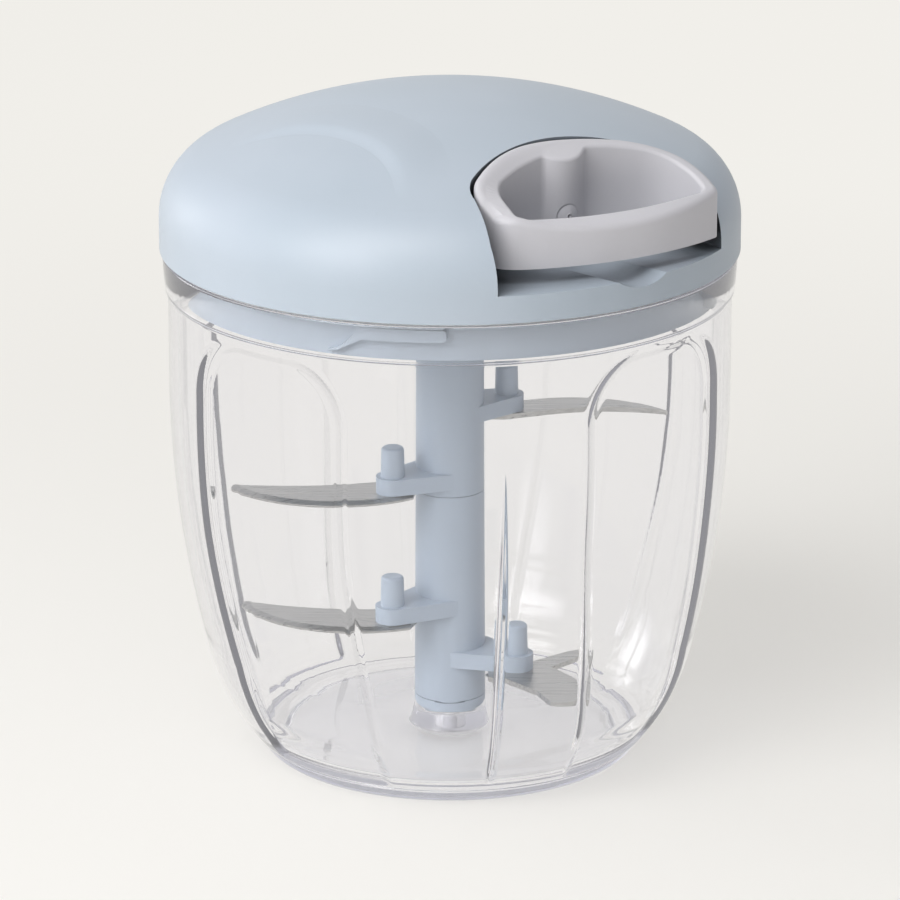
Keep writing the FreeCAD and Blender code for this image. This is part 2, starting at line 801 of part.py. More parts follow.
def leaf():
    """Short broad blade with a rounded end."""
    return [
        (heel_x, heel_back),
        (3.6, -8.4),
        (6.5, -5.2),
        (leaf_length * 0.65, -1.7, leaf_length * 3, 1),
        (leaf_length - 2, -1.6, 6.0, -1),
        (leaf_length, 4.2, 16.0, -1),
        (leaf_length * 0.45, leaf_belly, 22.0, -1),
        (heel_x, heel_y + 3),
    ]


def wing():
    """Slender straight blade of the lowest pair."""
    return [
        (heel_x, -wing_root * 0.7),
        (wing_length * 0.8, -2.2),
        (wing_length, -1.2, 1.6, -1),
        (wing_length, 1.4),
        (wing_length * 0.6, 4.0),
        (heel_x, wing_root),
    ]


BLADES = [
    ("blade_top", "upper", 0, 0, size("blade_top_turn", -1.0), sickle(slim_back_x, slim_back_y, slim_back_curve)),
    ("blade_middle", "upper", 1, 0, size("blade_middle_turn", 173.3), sickle(back_start_x, back_start_y, back_curve)),
    ("blade_low", "lower", 0, 0, size("blade_low_turn", 161.0), sickle(back_start_x, back_start_y, back_curve)),
    ("blade_leaf", "lower", 1, 0, size("blade_leaf_turn", -67.5), leaf()),
    ("blade_wing", "lower", 1, 1, size("blade_wing_turn", 41.6), wing()),
]


def make_blade(name, group, index, layer, turn, corners):
    """Stainless sheet blade with a hole for the stud and a ground leading edge."""
    height, angle, reach = ARMS[group][index][1:]
    top = height - blade_thickness * layer
    body = new_body(name)
    radians = math.radians(angle.value)
    shift = (reach * math.cos(radians), reach * math.sin(radians))
    outline = sketch_in(body, "XY_Plane", name + "_outline", top - blade_thickness, turn, shift)
    draw(outline, corners)
    sheet_metal = pad(body, name + "_sheet", outline, blade_thickness)
    hole = sketch_in(body, "XY_Plane", name + "_hole_outline", top - blade_thickness, turn, shift)
    draw_circle(hole, 0, 0, stake_radius)
    holed = pocket(body, name + "_hole", hole, blade_thickness)
    bevel_edge(body, name, holed, top, turn, shift, corners)
    return body


def bevel_edge(body, name, base, top, turn, shift, corners):
    """Grind the upper rim of the leading edge, which is the arc that ends at the heel."""
    start = corners[-2]
    place = Placement(Vector(shift[0].value, shift[1].value, 0), Rotation(Z_AXIS, turn.value))
    ends = [place.multVec(Vector(as_size(c[0]).value, as_size(c[1]).value, 0)) for c in (start, corners[-1])]

    def is_leading(edge):
        if len(edge.Vertexes) != 2 or abs(edge.BoundBox.ZMin - top.value) > 1e-4:
            return False
        points = [Vector(v.Point.x, v.Point.y, 0) for v in edge.Vertexes]
        return all(min((p - e).Length for e in ends) < 1e-3 for p in points) and abs(edge.BoundBox.ZLength) < 1e-4
    feature = body.newObject("PartDesign::Chamfer", name + "_grind")
    feature.ChamferType = "Two distances"
    feature.FlipDirection = True
    feature.Base = (base, edges_where(base, is_leading))
    bind(feature, "Size", blade_bevel)
    bind(feature, "Size2", blade_bevel * 2)


# ---------------------------------------------------------------- lid base and gasket


def make_lid_base():
    """Lower moulding of the lid: plate, skirt with four bayonet ribs, and the bearing tube."""
    body = new_body("lid_base")
    bearing_inner = hub_radius + hub_play
    bearing_outer = bearing_inner + bearing_wall
    cover_inner = cover_radius - cover_wall
    revolve(body, "base_shell", [
        (bearing_inner, bearing_bottom),
        (bearing_outer, bearing_bottom),
        (bearing_outer, lid_seat),
        (skirt_radius - skirt_wall, lid_seat),
        (skirt_radius - skirt_wall, skirt_bottom),
        (skirt_radius, skirt_bottom),
        (skirt_radius, lid_seat),
        (cover_inner - 0.1, lid_seat),
        (cover_inner - 0.1, plate_top),
        (bearing_outer, plate_top),
        (bearing_outer, bearing_top),
        (bearing_inner, bearing_top),
    ])
    rib_bottom = lid_rib_top - lid_rib_thickness
    middle = (rib_lead_angle.value + rib_end_angle.value) / 2

    def across(angle):
        return skirt_radius * math.sin(math.radians(angle.value - middle))
    outline = sketch_in(body, "XZ_Plane", "bayonet_rib_outline")
    outline.AttachmentOffset = Placement(Vector(), Rotation(Vector(0, 1, 0), middle + 90))
    draw(outline, [
        (across(rib_lead_angle), lid_rib_top - rib_drop - 0.6),
        (across(rib_lead_angle) + 2.0, lid_rib_top - rib_drop - 0.6),
        (across(rib_bend_angle) + 1.2, rib_bottom),
        (across(rib_end_angle) - 1.0, rib_bottom, 1.0, -1),
        (across(rib_end_angle), rib_bottom + 1.0),
        (across(rib_end_angle), lid_rib_top - 1.0, 1.0, -1),
        (across(rib_end_angle) - 1.0, lid_rib_top),
        (across(rib_bend_angle), lid_rib_top, 9.0, 1),
    ])
    rib = pad(body, "bayonet_rib", outline, collar_radius)
    polar(body, "bayonet_ribs", rib, bayonet_count)
    revolve(body, "rib_trim", [
        (collar_inner - lid_rib_clearance, skirt_bottom - 4),
        (collar_radius + 9, skirt_bottom - 4),
        (collar_radius + 9, lid_seat),
        (collar_inner - lid_rib_clearance, lid_seat),
    ], cut=True)
    revolve(body, "rib_inner_trim", [
        (bearing_outer, lid_rib_top - rib_drop - 1.5),
        (skirt_radius - skirt_wall, lid_rib_top - rib_drop - 1.5),
        (skirt_radius - skirt_wall, lid_seat),
        (bearing_outer, lid_seat),
    ], cut=True)
    revolve(body, "bearing_bore", [
        (0, bearing_bottom - 1),
        (bearing_inner, bearing_bottom - 1),
        (bearing_inner, bearing_top + 1),
        (0, bearing_top + 1),
    ], cut=True)
    holes = sketch_in(body, "XY_Plane", "screw_holes_outline", lid_seat - 1)
    for x, y in screw_places():
        draw_circle(holes, x, y, screw_radius + screw_play)
    pocket(body, "screw_holes", holes, plate_thickness + 2)
    return body


def polar(body, name, feature, count):
    """Repeat a feature about the Z axis."""
    pattern = body.newObject("PartDesign::PolarPattern", name)
    pattern.Originals = [feature]
    axis = next(f for f in body.Origin.OriginFeatures if f.Role == "Z_Axis")
    pattern.Axis = (axis, [""])
    pattern.Angle = 360.0
    pattern.Occurrences = count
    body.Tip = pattern
    return pattern


def screw_places():
    """Centres of the lid screws, as sizes."""
    places = []
    for i in range(screw_count):
        angle = math.radians(screw_first.value + i * screw_spacing.value)
        places.append((screw_circle * math.cos(angle), screw_circle * math.sin(angle)))
    return places


# ---------------------------------------------------------------- lid cover

# the pull frame: origin at the middle of the handle's front edge line, X to its right, Y inwards
PULL_TURN = pull_angle + 90


def pull_origin():
    """Place of the pull frame's origin in the lid."""
    angle = math.radians(pull_angle.value)
    side = math.radians(pull_angle.value + 90)
    x = handle_reach * math.cos(angle) + handle_offset * math.cos(side)
    y = handle_reach * math.sin(angle) + handle_offset * math.sin(side)
    return x, y


def back_outline(grow):
    """Points of the handle's D-shaped back, moved outwards: side, shoulder, shoulder, side."""
    side = handle_side_curve.value
    cx = handle_half_width.value - side
    cy = handle_side_centre.value
    rise = handle_depth.value - cy
    curve = (cx * cx + rise * rise - side * side) / (2 * (rise - side))
    drop = handle_depth.value - curve
    length = math.hypot(cx, cy - drop)
    big = curve + as_size(grow).value
    x = cx / length * big
    y = drop + (cy - drop) / length * big
    return x, y, big


def left_side(width, radius, grow):
    """Left side of the handle's outline, moved outwards by grow, as a round that runs into the
    back's arc: end of the back's arc, radius of the round, its outermost place."""
    curve = back_outline(0)[2] if as_size(grow).value >= 0 else back_outline(grow)[2]
    drop = handle_depth.value - back_outline(0)[2]
    small = as_size(radius).value
    across = as_size(width).value - small
    along = math.sqrt((curve - small) ** 2 - across * across)
    more = max(as_size(grow).value, 0)
    share = (curve + more) / (curve - small)
    return -across * share, drop + along * share, small + more, -across - small - more, drop + along


def pocket_corners(grow, reach):
    """Outline of the pocket in the pull frame, moved outwards by grow, out to a reach."""
    x, y, curve = back_outline(pocket_gap + grow)
    right = handle_half_width + pocket_gap + grow
    small = handle_side_curve + pocket_gap + grow
    left = right + pocket_flare
    lx, ly, rounding, edge, level = left_side(handle_half_width + handle_left_swell, handle_left_round,
                                              pocket_gap + grow)
    return [
        (-left, -reach),
        (right, -reach),
        (right, handle_side_centre, small, -1),
        (x, y, curve, -1),
        (lx, ly, rounding, -1),
        (edge, level),
        (-left, -handle_side_centre),
    ]


def cover_curve(inset):
    """Dome profile from the rim up, moved inwards: straight side, shoulder arc, crown arc."""
    radius = cover_radius.value - inset
    shoulder = cover_shoulder.value - inset
    centre = radius - shoulder
    start = cover_straight_top.value
    top = cover_top.value - inset
    rise = start - top
    crown = (centre * centre + rise * rise - shoulder * shoulder) / (-2 * (shoulder + rise))
    low = top - crown
    length = math.hypot(centre, start - low)
    x = centre / length * crown
    y = low + (start - low) / length * crown
    return [
        (cover_radius - inset, cover_straight_top, cover_shoulder - inset, -1),
        (x, y, crown, -1),
        (0, cover_top - inset),
    ]


def pull_place(height=0.0):
    """Placement of the pull frame at a height."""
    x, y = pull_origin()
    return Placement(Vector(x.value, y.value, as_size(height).value), Rotation(Z_AXIS, PULL_TURN.value))


def prism(name, place, length, corners=None, circles=()):
    """Outline raised along the normal of its placement."""
    sketch = doc.addObject("Sketcher::SketchObject", name + "_outline")
    sketch.Placement = place
    if corners:
        draw(sketch, corners)
    for circle in circles:
        draw_circle(sketch, *circle)
    feature = doc.addObject("Part::Extrusion", name)
    feature.Base = sketch
    feature.DirMode = "Normal"
    feature.Solid = True
    bind(feature, "LengthFwd", length)
    return feature


def back_at(a, grow):
    """How far in the handle's back outline lies at a lateral place, once grown."""
    big = back_outline(grow)[2]
    drop = handle_depth.value + as_size(grow).value - big
    return drop + math.sqrt(big * big - as_size(a).value ** 2)


def cord_axis_place():
    """Placement whose Z runs inwards along the cord, from the handle's front edge line."""
    local = Placement(Vector(cord_boss_offset.value, 0, cord_height.value), Rotation(Vector(1, 0, 0), -90))
    return pull_place().multiply(local)


def eyelet_stations():
    """Places along the cord: handle back face plus seat gap, spot face, end of the tail."""
    front = handle_depth + handle_seat_gap
    seat = Size(back_at(cord_boss_offset, pocket_gap)) + eyelet_spotface
    tail = Size(back_at(cord_boss_offset, pocket_gap + pocket_wall)) + eyelet_tail
    return front, seat, tail


def lathe(name, place, corners):
    """A profile turned all the way about the Z of its placement; X is the radius."""
    sketch = doc.addObject("Sketcher::SketchObject", name + "_profile")
    sketch.Placement = place.multiply(Placement(Vector(), Rotation(Vector(1, 0, 0), 90)))
    draw(sketch, corners)
    feature = doc.addObject("Part::Revolution", name)
    feature.Source = sketch
    feature.Axis = place.Rotation.multVec(Z_AXIS)
    feature.Base = place.Base
    feature.Angle = 360.0
    feature.Solid = True
    return feature


def make_lid_cover():
    """Domed cover with the open-fronted handle pocket, finger scoop and screw bosses."""
    wall = cover_wall.value
    outer = sector("dome", [(0, lid_seat), (cover_radius, lid_seat)] + cover_curve(0), 0, 360)
    hollow = sector("dome_hollow", [
        (0, lid_seat - 5),
        (cover_radius - cover_wall, lid_seat - 5),
        *cover_curve(wall),
    ], 0, 360)
    floor_under = pocket_floor - pocket_floor_thickness
    block = prism("pocket_block", pull_place(floor_under), cover_top - floor_under,
                  pocket_corners(pocket_wall, cover_radius))
    bosses = prism("screw_bosses", Placement(Vector(0, 0, plate_top.value), Rotation()), cover_top - plate_top,
                   circles=[(x, y, screw_boss_radius) for x, y in screw_places()])
    inside = cut("dome_inside", hollow, fused("cover_inner_walls", [block, bosses]))
    opening = prism("pocket_opening", pull_place(pocket_floor), cover_top, pocket_corners(Size(0), cover_radius))
    pilots = prism("pilot_holes", Placement(Vector(0, 0, plate_top.value), Rotation()), screw_grip + 1,
                   circles=[(x, y, screw_radius) for x, y in screw_places()])
    front, seat, tail = eyelet_stations()
    cord_hole = lathe("cover_cord_hole", cord_axis_place(), [
        (0, front - 2),
        (eyelet_flange, front - 2),
        (eyelet_flange, seat),
        (eyelet_radius, seat),
        (eyelet_radius, tail + 5),
        (0, tail + 5),
    ])
    tools = fused("cover_cuts", [inside, opening, make_scoop(), pilots, cord_hole])
    cover = cut("lid_cover", outer, tools)
    cover.Label = "lid_cover"
    return cover


def make_scoop():
    """Round-bottomed finger scoop that runs in through the lip of the pocket floor."""
    place = math.radians(scoop_place_angle.value)
    way = math.radians(scoop_way_angle.value)
    outward = Vector(math.cos(way), math.sin(way), 0)
    rim = Vector(math.cos(place), math.sin(place), 0) * cover_radius.value
    start = rim - outward * scoop_length.value
    start.z = (pocket_floor + scoop_radius - scoop_depth).value
    tool = doc.addObject("Part::Cylinder", "finger_scoop")
    bind(tool, "Radius", scoop_radius)
    bind(tool, "Height", scoop_length * 2)
    tool.Placement = Placement(start, Rotation(Z_AXIS, outward))
    return tool


def make_lid_fittings():
    """Gasket, screws and cord eyelet of the lid."""
    gasket = ring("lid_gasket", skirt_radius + lug_clearance, skirt_radius + lug_clearance + gasket_width,
                  collar_top, lid_seat)
    heads = prism("screw_heads", Placement(Vector(0, 0, (lid_seat - screw_head_height).value), Rotation()),
                  screw_head_height, circles=[(x, y, screw_head_radius) for x, y in screw_places()])
    shanks = prism("screw_shanks", Placement(Vector(0, 0, lid_seat.value), Rotation()),
                   plate_thickness + screw_grip, circles=[(x, y, screw_radius) for x, y in screw_places()])
    screws = fused("lid_screws", [heads, shanks])
    screws.Label = "lid_screws"
    front, seat, tail = eyelet_stations()
    eyelet = lathe("cord_eyelet", cord_axis_place(), [
        (eyelet_bore + 0.6, front),
        (eyelet_flange - 0.5, front),
        (eyelet_flange, front + 0.5),
        (eyelet_flange, seat),
        (eyelet_radius, seat),
        (eyelet_radius, tail),
        (eyelet_bore + 0.6, tail),
        (eyelet_bore, tail - 0.6),
        (eyelet_bore, front + 0.6),
    ])
    eyelet.Label = "cord_eyelet"
    return [gasket, screws, eyelet]


# ---------------------------------------------------------------- reel and recoil spring


def make_housing():
    """Can round the reel with a deck for the spring, its cap, and the axle pin."""
    inner = can_radius - can_wall
    can = new_body("reel_housing")
    revolve(can, "can", [
        (inner, plate_top),
        (can_radius, plate_top),
        (can_radius, can_top),
        (inner, can_top),
        (inner, deck_top),
        (arbor_radius + arbor_play, deck_top),
        (arbor_radius + arbor_play, deck_bottom),
        (inner, deck_bottom),
    ])
    middle = reel_bottom + reel_flange + reel_gap / 2
    window = sketch_in(can, "XY_Plane", "cord_window_outline", middle - reel_window_height / 2, pull_angle)
    draw(window, [
        (can_radius * 0.6, window_offset - window_width / 2),
        (can_radius + 5, window_offset - window_width / 2),
        (can_radius + 5, window_offset + window_width / 2),
        (can_radius * 0.6, window_offset + window_width / 2),
    ])
    pocket(can, "cord_window", window, reel_window_height)
    cap = new_body("housing_cap")
    revolve(cap, "cap", [
        (axle_radius, can_top),
        (can_radius, can_top),
        (can_radius, can_top + lid_cap_thickness - 0.5),
        (can_radius - 0.5, can_top + lid_cap_thickness),
        (axle_radius, can_top + lid_cap_thickness),
    ])
    axle = new_body("axle_pin")
    revolve(axle, "axle", [
        (0, reel_top - axle_depth),
        (axle_radius - 0.4, reel_top - axle_depth),
        (axle_radius, reel_top - axle_depth + 0.4),
        (axle_radius, can_top + lid_cap_thickness),
        (0, can_top + lid_cap_thickness),
    ])
    return [can, cap, axle]


def make_reel():
    """Hub that drives the blade shaft, with the cord reel keyed to it, and the reel's clip."""
    arbor_top = can_top - can_clearance
    hub = new_body("drive_hub")
    revolve(hub, "hub", [
        (0, hub_bottom),
        (hub_radius - 0.5, hub_bottom),
        (hub_radius, hub_bottom + 0.5),
        (hub_radius, bearing_top),
        (hub_flange_radius, bearing_top),
        (hub_flange_radius, reel_bottom),
        (arbor_radius, reel_bottom),
        (arbor_radius, arbor_top),
        (0, arbor_top),
    ])
    key = sketch_in(hub, "XY_Plane", "hub_key_outline", reel_bottom)
    draw(key, hexagon(reel_key))
    pad(hub, "hub_key", key, reel_top - reel_bottom)
    socket = sketch_in(hub, "XY_Plane", "hub_socket_outline", hub_bottom)
    draw(socket, hexagon(drive_flat, hub_play))
    pocket(hub, "hub_socket", socket, shaft_top + 0.8 - hub_bottom)
    bore = reel_top - axle_depth - 0.5
    revolve(hub, "axle_bore", [
        (0, bore),
        (axle_radius + axle_play, bore),
        (axle_radius + axle_play, arbor_top + 1),
        (0, arbor_top + 1),
    ], cut=True)
    reel = new_body("cord_reel")
    revolve(reel, "reel", [
        (0, reel_bottom),
        (reel_radius, reel_bottom),
        (reel_radius, reel_bottom + reel_flange),
        (reel_core, reel_bottom + reel_flange),
        (reel_core, reel_top - reel_flange),
        (reel_radius, reel_top - reel_flange),
        (reel_radius, reel_top),
        (0, reel_top),
    ])
    keyway = sketch_in(reel, "XY_Plane", "reel_keyway_outline", reel_bottom)
    draw(keyway, hexagon(reel_key))
    pocket(reel, "reel_keyway", keyway, reel_top - reel_bottom)
    clip = ring("reel_clip", arbor_radius, clip_radius, reel_top, reel_top + clip_thickness)
    return [hub, reel, make_winding(), clip]


def make_winding():
    """Wound cord on the reel, as one full coil with a slightly crowned outside."""
    low = reel_bottom + reel_flange
    high = low + reel_gap
    winding = new_body("cord_winding")
    revolve(winding, "winding", [
        (reel_core, low),
        (winding_radius - 0.8, low),
        (winding_radius, low + 1.5),
        (winding_radius, high - 1.5),
        (winding_radius - 0.8, high),
        (reel_core, high),
    ])
    return winding


def make_spring():
    """Flat recoil spring, a strip coiled in quarter turns about the arbor."""
    step = spring_pitch / 4
    half = spring_sheet / 2
    centres = [(-step / 2, step / 2), (-step / 2, -step / 2), (step / 2, -step / 2), (step / 2, step / 2)]
    ways = [(1, 0), (0, 1), (-1, 0), (0, -1)]

    def place(quarter, radius, turn):
        centre = centres[quarter % 4]
        way = ways[turn % 4]
        return centre[0] + way[0] * radius, centre[1] + way[1] * radius
    outside = []
    inside = []
    for k in range(spring_quarters):
        radius = spring_inner + half + step * k
        outside.append((*place(k, radius + half, k), radius + half, -1))
        inside.append((*place(k, radius - half, k + 1), radius - half, 1))
    last = spring_quarters - 1
    radius = spring_inner + half + step * last
    corners = outside + [place(last, radius + half, last + 1)] + inside[::-1] + [place(0, spring_inner, 0)]
    spring = new_body("recoil_spring")
    strip = sketch_in(spring, "XY_Plane", "strip_outline", deck_top)
    draw(strip, corners)
    pad(spring, "strip", strip, spring_height)
    return spring


# ---------------------------------------------------------------- pull handle and cord


def make_handle():
    """D-shaped pull handle with a sloping top, built in the pull frame."""
    body = new_body("pull_handle")
    x, y, curve = back_outline(0)
    wide = handle_half_width
    front = (wide * wide + handle_front_bulge * handle_front_bulge) / (handle_front_bulge * 2)
    corner_y = handle_front_bulge - handle_front_bar
    left_width = wide + handle_left_swell
    lx, ly, rounding, edge, edge_y = left_side(left_width, handle_left_round, 0)
    outline = sketch_in(body, "XY_Plane", "handle_outline", handle_bottom)
    draw(outline, [
        (-wide, corner_y, front, -1),
        (wide, corner_y),
        (wide, handle_side_centre, handle_side_curve, -1),
        (x, y, curve, -1),
        (lx, ly, rounding, -1),
        (edge, edge_y),
    ])
    pad(body, "handle_block", outline, cover_top - handle_bottom)
    inner = wide - handle_wall
    ix, iy, icurve = back_outline(-handle_wall)
    bump = back_at(0, -handle_wall) - cord_boss_height.value + cord_boss_radius.value
    left, right = bump_ends(bump, icurve)
    bar_y = handle_bar_inset
    lx, ly, rounding, edge, edge_y = left_side(left_width - handle_left_wall, finger_left_round, -handle_wall)
    finger = sketch_in(body, "XY_Plane", "finger_outline", handle_bottom)
    draw(finger, [
        (-inner, bar_y, handle_bar_curve, -1),
        (inner, bar_y),
        (inner, handle_side_centre, handle_side_curve - handle_wall, -1),
        (ix, iy, icurve, -1),
        (right[0], right[1], cord_boss_radius, 1),
        (left[0], left[1], icurve, -1),
        (lx, ly, rounding, -1),
        (edge, edge_y),
    ])
    opening = pocket(body, "finger_opening", finger, cover_top - handle_bottom)

    def upright_at(edge, places):
        box = edge.BoundBox
        upright = box.ZLength > 5 and box.XLength < 0.01 and box.YLength < 0.01
        return upright and any(math.hypot(box.XMin - x, box.YMin - y) < 0.05 for x, y in places)
    outer = [(side * wide.value, corner_y.value) for side in (-1, 1)]
    inside = [(side * inner.value, bar_y.value) for side in (-1, 1)] + [left, right]
    corners = round_edges(body, "handle_corners", opening,
                          edges_where(opening, lambda edge: upright_at(edge, outer)), handle_corner)
    round_edges(body, "finger_corners", corners,
                edges_where(corners, lambda edge: upright_at(edge, inside)), handle_inner_corner)
    slope = sketch_in(body, "YZ_Plane", "handle_slope_outline")
    rise = math.tan(math.radians(handle_slope.value))
    level = handle_bottom + handle_front_height
    draw(slope, [
        (-20, level - 20 * rise),
        (handle_depth + 20, level + (handle_depth + 20) * rise),
        (handle_depth + 20, cover_top + 30),
        (-20, cover_top + 30),
    ])
    top = body.newObject("PartDesign::Pocket", "handle_top")
    top.Profile = slope
    top.Type = "ThroughAll"
    top.SideType = "Symmetric"

    def is_top(edge):
        middle = edge.valueAt((edge.FirstParameter + edge.LastParameter) / 2)
        return all(abs(p.z - level.value - p.y * rise) < 0.01 for p in [middle] + [v.Point for v in edge.Vertexes])
    loops = sorted(top_loops(top, is_top), key=lambda loop: loop[0])
    outside = round_edges(body, "handle_soft_top", top, loops[-1][1], handle_edge)
    doc.recompute()
    round_edges(body, "finger_soft_top", outside, top_loops(outside, is_top)[0][1], finger_edge)
    bores = [("cord_bore", eyelet_bore, handle_depth + 5), ("knot_bore", knot_radius + knot_play, knot_seat())]
    for name, radius, length in bores:
        hole = sketch_in(body, "XZ_Plane", name + "_outline")
        draw_circle(hole, cord_boss_offset, cord_height, radius)
        pocket(body, name, hole, length, up=False)
    body.Placement = pull_place()
    return body


def top_loops(feature, test):
    """Edges of a feature's sloping top as loops, each with its length and the edges' names."""
    doc.recompute()
    named = {f"Edge{i + 1}": edge for i, edge in enumerate(feature.Shape.Edges) if test(edge)}
    loops = []
    for group in Part.sortEdges(list(named.values())):
        names = [name for name, edge in named.items() if any(edge.isSame(other) for other in group)]
        loops.append((sum(edge.Length for edge in group), names))
    return sorted(loops)


def knot_seat():
    """How far in the knot's seat lies, behind the inner face of the cord boss."""
    inner_face = back_at(0, -handle_wall) - cord_boss_height.value
    return Size(inner_face) + knot_play + knot_length


def bump_ends(centre, curve):
    """Where the cord boss meets the inner back of the handle: left and right points."""
    drop = back_at(0, -handle_wall) - curve
    points = []
    ax, ay, ar = cord_boss_offset.value, centre, cord_boss_radius.value
    bx, by, br = 0.0, drop, curve
    reach = math.hypot(bx - ax, by - ay)
    along = (ar * ar - br * br + reach * reach) / (2 * reach)
    across = math.sqrt(ar * ar - along * along)
    ux, uy = (bx - ax) / reach, (by - ay) / reach
    for side in (-1, 1):
        points.append((ax + ux * along - uy * across * side, ay + uy * along + ux * across * side))
    return sorted(points)


def make_cord():
    """Knot inside the handle, and the cord from the reel through the eyelet to the knot."""
    knot_end = knot_seat()
    knot = lathe("cord_knot", cord_axis_place(), [
        (0, knot_end - knot_length),
        (knot_radius * 0.7, knot_end - knot_length),
        (knot_radius, knot_end - knot_length * 0.6),
        (knot_radius, knot_end - knot_length * 0.25),
        (knot_radius * 0.7, knot_end),
        (0, knot_end),
    ])
    knot.Label = "cord_knot"
    a = cord_boss_offset.value
    centre = Vector(-handle_offset.value, handle_reach.value, 0)
    reach = (winding_radius + cord_radius + cord_slack).value
    tail = eyelet_stations()[2]
    bend = Vector(a, tail.value + 0.5, 0)
    way = bend - centre
    swing = math.acos(reach / way.Length)
    angle = math.atan2(way.y, way.x) + swing
    start = centre + Vector(math.cos(angle), math.sin(angle), 0) * reach
    end = Vector(a, knot_end.value, 0)
    path = bent_path([start, bend, end], cord_bend.value)
    section = Part.Wire([Part.Circle(start, (bend - start), cord_radius.value).toShape()])
    lead = doc.addObject("Part::Feature", "cord_lead")
    lead.Label = "cord_lead"
    lead.Shape = Part.Wire(path).makePipeShell([section], True, False)
    lead.Placement = pull_place(cord_height)
    length = sum(edge.Length for edge in path)
    area = math.pi * cord_radius.value ** 2
    print(f"cord lead length {length:.1f} bend radius {cord_bend.value:.1f} "
          f"volume {lead.Shape.Volume:.1f} expected {area * length:.1f}")
    return [knot, lead]


def bent_path(points, radius):
    """Straight runs joined by a tangent arc at the middle point."""
    start, corner, end = points
    back = (start - corner).normalize()
    ahead = (end - corner).normalize()
    turn = math.pi - back.getAngle(ahead)
    trim = radius * math.tan(turn / 2)
    first = corner + back * trim
    last = corner + ahead * trim
    towards = (back + ahead).normalize()
    middle = corner + towards * (radius / math.cos(turn / 2) - radius)
    return [
        Part.LineSegment(start, first).toShape(),
        Part.Arc(first, middle, last).toShape(),
        Part.LineSegment(last, end).toShape(),
    ]


def sub_parts():
    """Build every piece and return it."""
    pieces = [make_bowl(), make_spindle_pin()]
    pieces += make_foot_parts()
    pieces += [make_shaft_lower(), make_shaft_upper()]
    pieces += [make_blade(*blade) for blade in BLADES]
    pieces += [make_lid_base(), make_lid_cover()]
    pieces += make_lid_fittings()
    pieces += make_housing()
    pieces += make_reel()
    pieces += [make_spring(), make_handle()]
    pieces += make_cord()
    return pieces


def export(pieces):
    """Check every object and write each piece to its own STEP file."""
    doc.recompute()
    for item in doc.Objects:
        if any(word in item.State for word in ("Invalid", "Error")):
            raise RuntimeError(f"{item.Name} failed: {item.State}")
    os.makedirs("parts", exist_ok=True)
    for piece in pieces:
        shape = piece.Shape
        if shape.isNull() or not shape.isValid():
            raise RuntimeError(f"{piece.Label} has no valid shape")
        shape.exportStep(f"parts/{piece.Label}.step")
        box = shape.BoundBox
        print(f"{piece.Label:18s} solids {len(shape.Solids)} volume {shape.Volume:10.1f} "
              f"x {box.XMin:7.2f} {box.XMax:7.2f} y {box.YMin:7.2f} {box.YMax:7.2f} "
              f"z {box.ZMin:7.2f} {box.ZMax:7.2f}")


export(sub_parts())
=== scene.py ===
import json
import math

import bpy
import numpy as np
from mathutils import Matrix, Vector


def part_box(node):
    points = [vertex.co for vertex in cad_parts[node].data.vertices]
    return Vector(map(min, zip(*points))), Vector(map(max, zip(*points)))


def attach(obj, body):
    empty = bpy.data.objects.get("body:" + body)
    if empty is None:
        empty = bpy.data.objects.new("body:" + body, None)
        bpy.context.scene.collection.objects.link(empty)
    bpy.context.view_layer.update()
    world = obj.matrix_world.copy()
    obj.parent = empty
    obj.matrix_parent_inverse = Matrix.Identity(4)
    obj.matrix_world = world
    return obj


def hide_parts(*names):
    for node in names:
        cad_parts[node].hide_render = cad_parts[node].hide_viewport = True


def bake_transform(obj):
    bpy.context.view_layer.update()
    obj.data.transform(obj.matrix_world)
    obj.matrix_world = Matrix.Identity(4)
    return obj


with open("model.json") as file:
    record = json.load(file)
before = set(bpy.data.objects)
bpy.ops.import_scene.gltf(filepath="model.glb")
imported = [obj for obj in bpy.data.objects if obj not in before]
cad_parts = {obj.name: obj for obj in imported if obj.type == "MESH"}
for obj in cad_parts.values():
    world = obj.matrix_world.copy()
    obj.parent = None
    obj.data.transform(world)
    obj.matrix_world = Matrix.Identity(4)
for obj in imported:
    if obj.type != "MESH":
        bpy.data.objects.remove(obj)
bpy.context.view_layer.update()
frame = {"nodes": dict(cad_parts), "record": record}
nodes = frame["nodes"]
scene = bpy.context.scene
MM = 0.001

# ---------------------------------------------------------------- sizes taken from the frame

bowl_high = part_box("bowl")[1]
cover_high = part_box("lid_cover")[1]
COLLAR_TOP = bowl_high.z
COLLAR_RADIUS = bowl_high.x

# the bowl's own sizes, in metres
FOOT_RADIUS = 43.3 * MM
FLOOR_HOLLOW = 37.6 * MM
FLOOR_LEVEL = 4.8 * MM
BELLY = (58.0 * MM, 28.0 * MM)
SIDE = (65.6 * MM, 92.0 * MM)
BELLY_CURVE = 52.7 * MM
SIDE_CURVE = 250.0 * MM
WALL = 2.4 * MM
COLLAR_BOTTOM = 112.4 * MM
COLLAR_INNER = COLLAR_RADIUS - 2.2 * MM
BOSS = (8.6 * MM, 8.7 * MM)
PIN_RADIUS = 2.5 * MM
PIN_SEAT = 2.9 * MM
EDGE_ROUND = 0.35 * MM

# four arched panels pressed into the wall
PANEL_COUNT = 4
PANEL_CENTRE = -131.5
PANEL_HALF_ANGLE = 19.0
PANEL_TOP = 109.4 * MM
PANEL_CORNER = 15.0 * MM
PANEL_DEPTH = 1.4 * MM
PANEL_BEVEL = 3.6 * MM
PANEL_FADE = (4.2 * MM, 6.0 * MM)
PANEL_LEAN = 5.0

